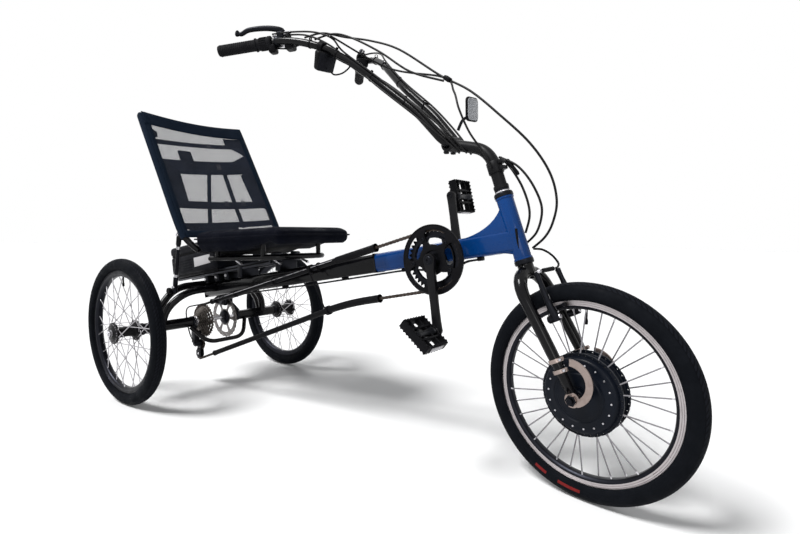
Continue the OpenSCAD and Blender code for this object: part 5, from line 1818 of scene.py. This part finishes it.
class TRIKE_OT_stem(bpy.types.Operator):
    """Stem with its collar, spacers, face plate and bolts"""
    bl_idname = "trike.stem"
    bl_label = "Stem"

    def execute(self, context):
        top = steering_line(HEAD_HIGH.z + 118)
        path = bent([HEAD_HIGH + STEER_AXIS * 12.6, top, CLAMP + Vector((14, 0, -4))], 46, 14)
        radii = [16 - 1.5 * i / len(path) for i in range(len(path))]
        parts = [tube(path, radii, "black_matte", 28)]
        clamp = clamp_band(12.7, 20, 23, "black_matte", 40, 1.4)
        parts.append(put(clamp, shift(*CLAMP)))
        for y in (-14, 14):
            for up in (-1, 1):
                lug = block((11, 12, 12), "black_matte", 2.6, 3)
                at = CLAMP + Vector((-8, y, up * 19))
                parts.append(put(lug, shift(*at)))
                parts.append(screwed(at + Vector((-5.4, 0, 0)), (-1, 0, 0), 3.6, 3.4, "bright_steel", steps=14))
        for s, depth, r, finish in ((14, 3, 18.6, "bright_steel"), (18.5, 5, 18, "black_metal"),
                                    (26, 9, 18.6, "black_matte")):
            ring = spun([(ON_STEM, -depth / 2), (r, -depth / 2), (r + 0.5, 0), (r, depth / 2),
                         (ON_STEM, depth / 2)], 40, finish)
            parts.append(put(ring, on_line(HEAD_HIGH + STEER_AXIS * s, STEER_AXIS)))
        collar_at = HEAD_HIGH + STEER_AXIS * 78
        collar = clamp_band(ON_STEM, 19.4, 15, "black_matte", 40)
        parts.append(put(collar, on_line(collar_at, STEER_AXIS)))
        for d in (-8, 8):
            lug = block((12, 22, 10), "black_matte", 2.4, 3)
            at = collar_at + STEER_AXIS * d + Vector((21, 0, 7))
            parts.append(put(lug, aimed(at, STEER_AXIS) @ turn(90, "Z")))
            parts.append(screwed(at + Vector((0, -7, 0)), (0, -1, 0), 3.6, 3.4, "bright_steel", steps=14))
        assembled(parts, STEERED, "clamped_stem", "steering", "stem")
        return {"FINISHED"}


class TRIKE_OT_handlebar(bpy.types.Operator):
    """Swept handlebar with cable ties"""
    bl_idname = "trike.handlebar"
    bl_label = "Handlebar"

    def execute(self, context):
        right = BAR + [GRIP_END - GRIP_DIR * 4]
        path = bent(right[::-1] + mirrored(right), 34, 8)
        parts = [tube(path, 11.1, "black_paint", 22)]
        for a, b, t in ((1, 2, 0.3), (2, 3, 0.25), (3, 4, 0.35), (4, 5, 0.5)):
            for s in (-1, 1):
                p, q = BAR[a].copy(), BAR[b].copy()
                if s > 0:
                    p, q = mirrored([p])[0], mirrored([q])[0]
                at, way = p.lerp(q, t), (q - p).normalized()
                tie = cable_tie(ON_BAR, 12.6, 2.4, 28)
                parts.append(put(tie, on_line(at, way)))
                loop = cable_tie(4.0, 5.2, 2.2, 20)
                parts.append(put(loop, on_line(at + Vector((0, 0, 15.5)), way)))
        assembled(parts, STEERED, "swept_handlebar", "steering", "handlebar")
        return {"FINISHED"}


def grip_shape():
    """Ribbed grip with a flange and an end plug, along Y from its inner end."""
    outline = [(ON_BAR, 0), (19.5, 0), (20.2, 1.2), (20.2, 4), (17.4, 5.6)]
    y = 8.0
    while y < 114:
        outline += [(16.6, y), (17.2, y + 1.2), (17.2, y + 3.4), (16.6, y + 4.6), (16.1, y + 5.4)]
        y += 6.2
    outline += [(17.2, 117), (17.6, 120), (16, 123), (ON_BAR, 123)]
    grip = spun(outline, 40, "grip_rubber")
    mesh = grip.data
    layer = new_uv_map(mesh)
    for poly in mesh.polygons:
        for loop in poly.loop_indices:
            co = mesh.vertices[mesh.loops[loop].vertex_index].co
            layer[loop].uv = (abs(atan2(co.z, co.x)) / pi, co.y / (167 * MM))
    lock = spun([(ON_BAR, -6), (16.4, -6), (17, -5), (17, -0.6), (16.4, 0), (ON_BAR, 0)], 36, "black_metal")
    plug = spun([(0, 122), (13, 122), (15.6, 123.4), (15.6, 125), (12, 126.4), (0, 126.6)], 32, "black_plastic")
    return joined([grip, lock, plug])


class TRIKE_OT_cockpit(bpy.types.Operator):
    """Grips, brake levers, shifters, display and their clamps"""
    bl_idname = "trike.cockpit"
    bl_label = "Grips, levers and display"

    def execute(self, context):
        for side, flip in (("right", False), ("left", True)):
            mirror = Matrix.Diagonal((1, -1, 1, 1)) if flip else Matrix()
            grip = put(grip_shape(), on_line(GRIP_START + GRIP_DIR * 47, GRIP_DIR))
            ready(self.placed(grip, mirror), side + "_ribbed_grip", "steering", side + "_grip")
            ready(self.placed(self.lever(), mirror), side + "_lever_and_perch", "steering",
                  side + "_brake_lever")
            ready(self.placed(self.shifter(flip), mirror), side + "_shifter", "steering")
        self.display()
        self.reflector()
        return {"FINISHED"}

    def placed(self, obj, mirror):
        put(obj, STEERED @ mirror)
        if mirror[1][1] < 0:
            obj.data.flip_normals()
        return obj

    def lever(self):
        perch = GRIP_START - GRIP_DIR * 22
        tip = GRIP_END + Vector((44, 36, 52))
        path = flowing([perch + Vector((6, 2, 12)), perch + Vector((12, 6, 30)),
                        perch.lerp(tip, 0.3) + Vector((10, 4, 30)), perch.lerp(tip, 0.7) + Vector((5, 2, 16)),
                        tip - (tip - perch).normalized() * 18, tip], 8)
        n = len(path)
        radii = [9.6 - 3.6 * i / n for i in range(n - 7)] + [5.8, 7.0, 8.6, 9.6, 9.8, 8.4, 4.4]
        parts = [tube(path, radii, "black_metal", 14)]
        band = clamp_band(ON_BAR, 17.4, 10, "black_metal", 36)
        parts.append(put(band, on_line(perch, GRIP_DIR)))
        body = block((26, 20, 22), "black_metal", 4, 3)
        parts.append(put(body, aimed(perch + Vector((8, 4, 17)), GRIP_DIR)))
        parts.append(screwed(perch + Vector((10, 4, 29)), (0.2, 0, 1), 5.6, 3.2, "bright_steel", steps=16))
        barrel = spun([(3, -12), (5.6, -12), (5.8, -4), (4.4, -2), (4.4, 9), (3.4, 12), (3, 12)], 16,
                      "bright_steel")
        parts.append(put(barrel, on_line(perch + Vector((30, 14, 22)), (0.83, 0.5, 0.1))))
        return joined(parts)

    def shifter(self, small):
        parts = []
        twist = spun([(ON_BAR, -1), (19, -1), (20.4, 1), (20.4, 10), (18.4, 13), (18.6, 38), (17.4, 42),
                      (17.4, 45), (ON_BAR, 45)], 40, "grip_rubber")
        for k in range(20):
            a = 2 * pi * k / 20
            rib = block((2.2, 22, 2.4), "grip_rubber", 0.6, 1, (18.8 * cos(a), 25.5, 18.8 * sin(a)))
            parts.append(rib)
        turned = joined([twist] + parts)
        parts = [put(turned, on_line(GRIP_START, GRIP_DIR))]
        at = GRIP_START - GRIP_DIR * 52
        band = clamp_band(ON_BAR, 17.6, 9, "black_plastic")
        parts.append(put(band, on_line(at, GRIP_DIR)))
        pod = block((40, 30, 30 if not small else 24), "black_plastic", 8, 4)
        parts.append(put(pod, aimed(at + Vector((8, 3, -17)), GRIP_DIR)))
        lower = block((34, 26, 24), "black_plastic", 7, 4)
        parts.append(put(lower, aimed(GRIP_START + Vector((4, 2, -20)), GRIP_DIR)))
        parts.append(screwed(at + Vector((8, -14, -18)), (0.3, -1, 0.1), 10, 2.4, "bright_steel", 0.3, 24))
        window = block((16, 2.4, 7), "window", 0.8, 2)
        parts.append(put(window, aimed(GRIP_START + Vector((8, 4, 20)), (0, 0, 1))))
        return joined(parts)

    def display(self):
        at = Vector((WHEELBASE - 761, -112, AXLE_Z + 862))
        case = block((26, 62, 54), "black_plastic", 7, 4)
        for v in case.data.vertices:
            v.co.y *= 1 + 0.35 * (v.co.z / (27 * MM)) * 0.5
        glass = block((1.6, 50, 34), "screen", 0.6, 2, (-13.2, 0, 4))
        keys = [block((3, 9, 5), "dark_alloy", 1.2, 2, (-13.2, y, -20)) for y in (-16, 0, 16)]
        rim = block((3, 60, 50), "black_metal", 1.2, 2, (11.6, 0, 0))
        parts = [case, glass, rim] + keys
        body = put(joined(parts), shift(*at) @ turn(28, "Y") @ shift(0, 0, -8))
        bracket = tube([at + Vector((0, 0, 10)), BAR[4]], 8, "black_plastic", 16)
        band = clamp_band(ON_BAR, 15.8, 8, "black_plastic", 32, 0.8, 1.0)
        way = (BAR[5] - BAR[3]).normalized()
        band = put(band, on_line(BAR[4], way))
        lead = tube(flowing([at + Vector((6, 8, -30)), at + Vector((16, 20, -44)), at + Vector((44, 34, -40)),
                             at + Vector((70, 40, -20)), BAR[3] + Vector((0, 4, 14))], 8), 2.4, "cable_cover", 10)
        assembled([body, bracket, band, lead], STEERED, "display_unit", "steering", "display")

    def reflector(self):
        at = CLAMP + Vector((60, 0, 80))
        outline = [(sx * 13 + 10 * cos(radians(a)), sz * 20 + 10 * sin(radians(a))) for sx, sz,
                   a0 in ((1, 1, 0), (-1, 1, 90), (-1, -1, 180), (1, -1, 270)) for a in range(a0, a0 + 91, 18)]
        inner = [(x * 0.87, z * 0.9) for x, z in outline]
        shell = put(plate([outline], 6, "black_plastic", 1.4), turn(90, "Z"))
        lens = put(plate([inner], 3.4, "reflector_lens", 0.8), shift(3.6, 0, 0) @ turn(90, "Z"))
        ridge = [put(block((1.2, 36, 0.9), "reflector_lens", 0.3, 1), shift(5.2, 0, z)) for z in (-9, 9)]
        body = put(joined([shell, lens] + ridge), shift(at.x + 4.5, at.y, at.z))
        bracket = tube(flowing([CLAMP + Vector((20, 0, 34)), CLAMP + Vector((36, 0, 58)),
                                at + Vector((0, 0, -16))], 6), 4, "black_metal", 12)
        foot = screwed(at + Vector((-1, 0, -14)), (-1, 0, 0), 5.6, 4, "bright_steel")
        assembled([body, bracket, foot], STEERED, "front_reflector_lens", "steering",
                  "front_reflector")


BAR_RUNS = (
    ((938, -176, 962), (853, -158, 952), (779, -132, 938), (725, -112, 912), (702, -90, 874), (592, -60, 787),
     (467, -46, 692), (375, -34, 608), (330, -22, 560)),
    ((938, 176, 962), (853, 156, 950), (779, 130, 926), (702, 84, 873), (592, 50, 788), (467, 38, 694),
     (375, 34, 606), (330, 22, 556)),
    ((725, -118, 918), (600, -10, 822), (405, 0, 761), (355, -16, 714), (326, -32, 664), (294, -32, 603),
     (257, -26, 552), (236, -22, 512)),
    ((926, -160, 958), (838, -126, 946), (760, -98, 906), (700, -74, 852), (592, -66, 764), (467, -52, 670),
     (385, -38, 604), (330, -26, 556)),
    ((918, -168, 948), (838, -138, 930), (768, -108, 888), (702, -96, 846), (592, -40, 780), (467, -28, 688),
     (372, -20, 610), (318, -12, 556)),
)
LOOP_RUNS = (
    ((838, -128, 938), (790, -96, 946), (731, -60, 928), (634, -40, 898), (542, -20, 857), (415, 0, 768),
     (316, 0, 711), (227, 0, 639), (150, 10, 565), (104, 20, 495), (88, 25, 431), (97, 25, 380), (117, 25, 345),
     (149, 25, 318)),
    ((812, -110, 930), (760, -80, 940), (699, -60, 918), (602, -40, 861), (505, -20, 792), (405, 4, 752)),
    ((242, 20, 541), (194, 22, 518), (156, 21, 480), (131, 25, 432), (126, 25, 397), (139, 25, 356),
     (166, 25, 329)),
    ((242, 27, 541), (222, 27, 522), (199, 18, 502), (177, 20, 467), (161, 22, 426), (158, 24, 392),
     (169, 25, 354)),
)


class TRIKE_OT_cables(bpy.types.Operator):
    """Brake, gear and motor cables along the bars, round the head and under the boom"""
    bl_idname = "trike.cables"
    bl_label = "Cables"

    def execute(self, context):
        runs = [tube(flowing([fore(p) for p in run], 8), 2.7, "cable_cover", 12) for run in BAR_RUNS]
        droop = flowing([GRIP_START + Vector((6, 10, -16)), GRIP_START + Vector((60, 22, -26)),
                         GRIP_START + Vector((110, 40, -22)), GRIP_START + Vector((150, 56, -34)),
                         GRIP_START + Vector((158, 60, -50)), GRIP_START + Vector((172, 64, -30)), BAR[4]], 8)
        runs.append(tube(droop, 2.3, "cable_cover", 12))
        assembled(runs, STEERED, "cables_on_bars", "steering", "bar_cables")
        for i, run in enumerate(LOOP_RUNS):
            line = flowing([fore(p) for p in run], 8)
            loop = put(tube(line, 2.9, "cable_cover", 12), STEERED)
            ready(loop, "cable_loop_" + str(i + 1), "steering", "loop_cables")
        drop = 33
        under = []
        for s in (-1, 1):
            places = [(1180 - 12, s * 6, boom_z(1168) - drop), (CRANK_X + 60, s * 5, boom_z(CRANK_X + 60) - drop),
                      (CRANK_X + 26, s * 5, CRANK_Z - 33), (CRANK_X - 30, s * 5, CRANK_Z - 33),
                      (CRANK_X - 110, s * 5, boom_z(CRANK_X - 110) - drop), (560, s * 5, boom_z(560) - drop - 3),
                      (200, s * 6, boom_z(200) - drop), (80, s * 10, AXLE_Z + 84)]
            under.append(tube(bent(places, 30, 6), 2.5, "cable_cover", 12))
        assembled(under, TRIKE, "cables_under_boom", "frame", "boom_cables")
        return {"FINISHED"}


class TRIKE_OT_cable_fittings(bpy.types.Operator):
    """Clips, connector and ferrules on the cables"""
    bl_idname = "trike.cable_fittings"
    bl_label = "Cable fittings"

    def execute(self, context):
        parts = []
        clip = block((22, 16, 12), "black_plastic", 3.4, 3)
        parts.append(put(clip, shift(1062, -4, 1002) @ turn(36, "Y")))
        plug_end = Vector((1224, 24, 783))
        way = (Vector((1262, 26, 740)) - plug_end).normalized()
        parts.append(tube([plug_end + way * d for d in (0, 3, 22, 25, 44, 50)], [4, 5.8, 5.8, 5, 5, 3.2],
                          "black_plastic", 16))
        for s in (-1, 1):
            tie = cable_tie(17, 18.2, 2.4, 32)
            at = steering_line(HEAD_HIGH.z + 44 + s * 26)
            parts.append(put(tie, on_line(at, STEER_AXIS)))
        assembled(parts, STEERED, "cable_clips", "steering")
        return {"FINISHED"}


# ------------------------------------------------------------------ stage

def seen_rays(tree):
    """Output that is 1 for camera, glossy and transmission rays, and 0 for the rays that light the trike."""
    path = tree.nodes.new("ShaderNodeLightPath")
    seen = path.outputs["Is Camera Ray"]
    for ray in ("Is Glossy Ray", "Is Transmission Ray"):
        most = tree.nodes.new("ShaderNodeMath")
        most.operation = "MAXIMUM"
        tree.links.new(seen, most.inputs[0])
        tree.links.new(path.outputs[ray], most.inputs[1])
        seen = most.outputs[0]
    return seen


class TRIKE_OT_stage(bpy.types.Operator):
    """Camera, pale floor, soft lights and backdrop"""
    bl_idname = "trike.stage"
    bl_label = "Stage"

    def execute(self, context):
        self.camera(context)
        self.floor()
        self.lights()
        self.backdrop(context)
        return {"FINISHED"}

    def camera(self, context):
        data = bpy.data.cameras.new("camera")
        data.lens, data.sensor_width, data.clip_end = 23.01, 36, 200
        yaw, pitch, roll = radians(127.110), radians(-4.263), radians(0.659)
        forward = Vector((cos(pitch) * cos(yaw), cos(pitch) * sin(yaw), sin(pitch)))
        right = forward.cross(Vector((0, 0, 1))).normalized()
        up = right.cross(forward)
        side = right * cos(roll) + up * sin(roll)
        top = up * cos(roll) - right * sin(roll)
        matrix = Matrix.Identity(4)
        for row in range(3):
            matrix[row][0], matrix[row][1], matrix[row][2] = side[row], top[row], -forward[row]
        matrix.translation = Vector((1790.57 - CENTRE_X, -1154.82, 611.27)) * MM
        camera = bpy.data.objects.new("camera", data)
        camera.matrix_world = matrix
        context.scene.collection.objects.link(camera)
        context.scene.camera = camera

    def floor(self):
        deselect()
        bpy.ops.mesh.primitive_plane_add(size=40, location=(0, 0, -0.0005))
        floor = bpy.context.object
        floor.name = "floor"
        finish = bpy.data.materials.new("pale_floor")
        finish.use_nodes = True
        tree = finish.node_tree
        tree.nodes.clear()
        strength = tree.nodes.new("ShaderNodeMath")
        strength.operation = "MULTIPLY"
        strength.inputs[1].default_value = 0.04
        diffuse, glow = tree.nodes.new("ShaderNodeBsdfDiffuse"), tree.nodes.new("ShaderNodeEmission")
        diffuse.inputs["Color"].default_value = (0.9, 0.9, 0.9, 1)
        both, out = tree.nodes.new("ShaderNodeAddShader"), tree.nodes.new("ShaderNodeOutputMaterial")
        tree.links.new(seen_rays(tree), strength.inputs[0])
        tree.links.new(strength.outputs[0], glow.inputs["Strength"])
        tree.links.new(diffuse.outputs[0], both.inputs[0])
        tree.links.new(glow.outputs[0], both.inputs[1])
        tree.links.new(both.outputs[0], out.inputs["Surface"])
        floor.data.materials.append(finish)

    def lights(self):
        sun = bpy.data.lights.new("key", "SUN")
        sun.energy, sun.angle = 3.4, radians(20)
        lamps = [(sun, (-0.6, -1.0, 1.7), (0, 0, 0))]
        for name, at, aim, size, power in (("fill", (2.6, -2.6, 1.5), (0.2, 0, 0.5), 1.2, 16),
                                           ("edge", (-2.2, 2.4, 2.6), (0, 0, 0.5), 1.6, 26)):
            data = bpy.data.lights.new(name, "AREA")
            data.shape, data.size, data.energy = "SQUARE", size, power
            lamps.append((data, at, aim))
        for data, at, aim in lamps:
            lamp = bpy.data.objects.new(data.name, data)
            way = Vector(aim) - Vector(at)
            lamp.matrix_world = Matrix.Translation(at) @ way.to_track_quat("-Z", "Y").to_matrix().to_4x4()
            bpy.context.scene.collection.objects.link(lamp)

    def backdrop(self, context):
        world = bpy.data.worlds.new("studio")
        world.use_nodes = True
        tree = world.node_tree
        tree.nodes.clear()
        light, white = tree.nodes.new("ShaderNodeBackground"), tree.nodes.new("ShaderNodeBackground")
        light.inputs["Color"].default_value, light.inputs["Strength"].default_value = (0.96, 0.98, 1, 1), 0.21
        white.inputs["Color"].default_value, white.inputs["Strength"].default_value = (1, 1, 1, 1), 1.0
        mix, out = tree.nodes.new("ShaderNodeMixShader"), tree.nodes.new("ShaderNodeOutputWorld")
        tree.links.new(seen_rays(tree), mix.inputs[0])
        tree.links.new(light.outputs[0], mix.inputs[1])
        tree.links.new(white.outputs[0], mix.inputs[2])
        tree.links.new(mix.outputs[0], out.inputs["Surface"])
        context.scene.world = world
        context.scene.view_settings.view_transform = "Standard"


STEPS = (
    TRIKE_OT_stage, TRIKE_OT_tyres, TRIKE_OT_rims, TRIKE_OT_spokes, TRIKE_OT_hub_motor, TRIKE_OT_rear_hubs,
    TRIKE_OT_brake_rotor, TRIKE_OT_chain, TRIKE_OT_chain_tubes, TRIKE_OT_cassette, TRIKE_OT_chainring,
    TRIKE_OT_cranks, TRIKE_OT_pedals, TRIKE_OT_derailleur, TRIKE_OT_rear_brake, TRIKE_OT_frame,
    TRIKE_OT_seat_cushion, TRIKE_OT_back_rest, TRIKE_OT_battery, TRIKE_OT_seat_rails, TRIKE_OT_fork,
    TRIKE_OT_front_brake, TRIKE_OT_stem, TRIKE_OT_handlebar, TRIKE_OT_cockpit, TRIKE_OT_cables,
    TRIKE_OT_cable_fittings,
)


class TRIKE_PT_parts(bpy.types.Panel):
    """Sizes, colours and pieces of the trike"""
    bl_idname = "TRIKE_PT_parts"
    bl_label = "Recumbent trike"
    bl_space_type = "VIEW_3D"
    bl_region_type = "UI"
    bl_category = "Trike"

    def draw(self, context):
        layout = self.layout
        for group in (context.scene.trike_colours, context.scene.trike_sizes):
            box = layout.box()
            for name in group.bl_rna.properties.keys():
                if name not in ("rna_type", "name"):
                    box.prop(group, name)
        for step in STEPS:
            layout.operator(step.bl_idname)


CLASSES = (TrikeColours, TrikeSizes) + STEPS + (TRIKE_PT_parts,)


def register():
    for cls in CLASSES:
        bpy.utils.register_class(cls)
    bpy.types.Scene.trike_colours = PointerProperty(type=TrikeColours)
    bpy.types.Scene.trike_sizes = PointerProperty(type=TrikeSizes)


def unregister():
    del bpy.types.Scene.trike_sizes, bpy.types.Scene.trike_colours
    for cls in reversed(CLASSES):
        bpy.utils.unregister_class(cls)


def main():
    register()
    make_finishes(bpy.context.scene.trike_colours)
    for step in STEPS:
        family, action = step.bl_idname.split(".")
        getattr(getattr(bpy.ops, family), action)()


if __name__ == "__main__":
    main()
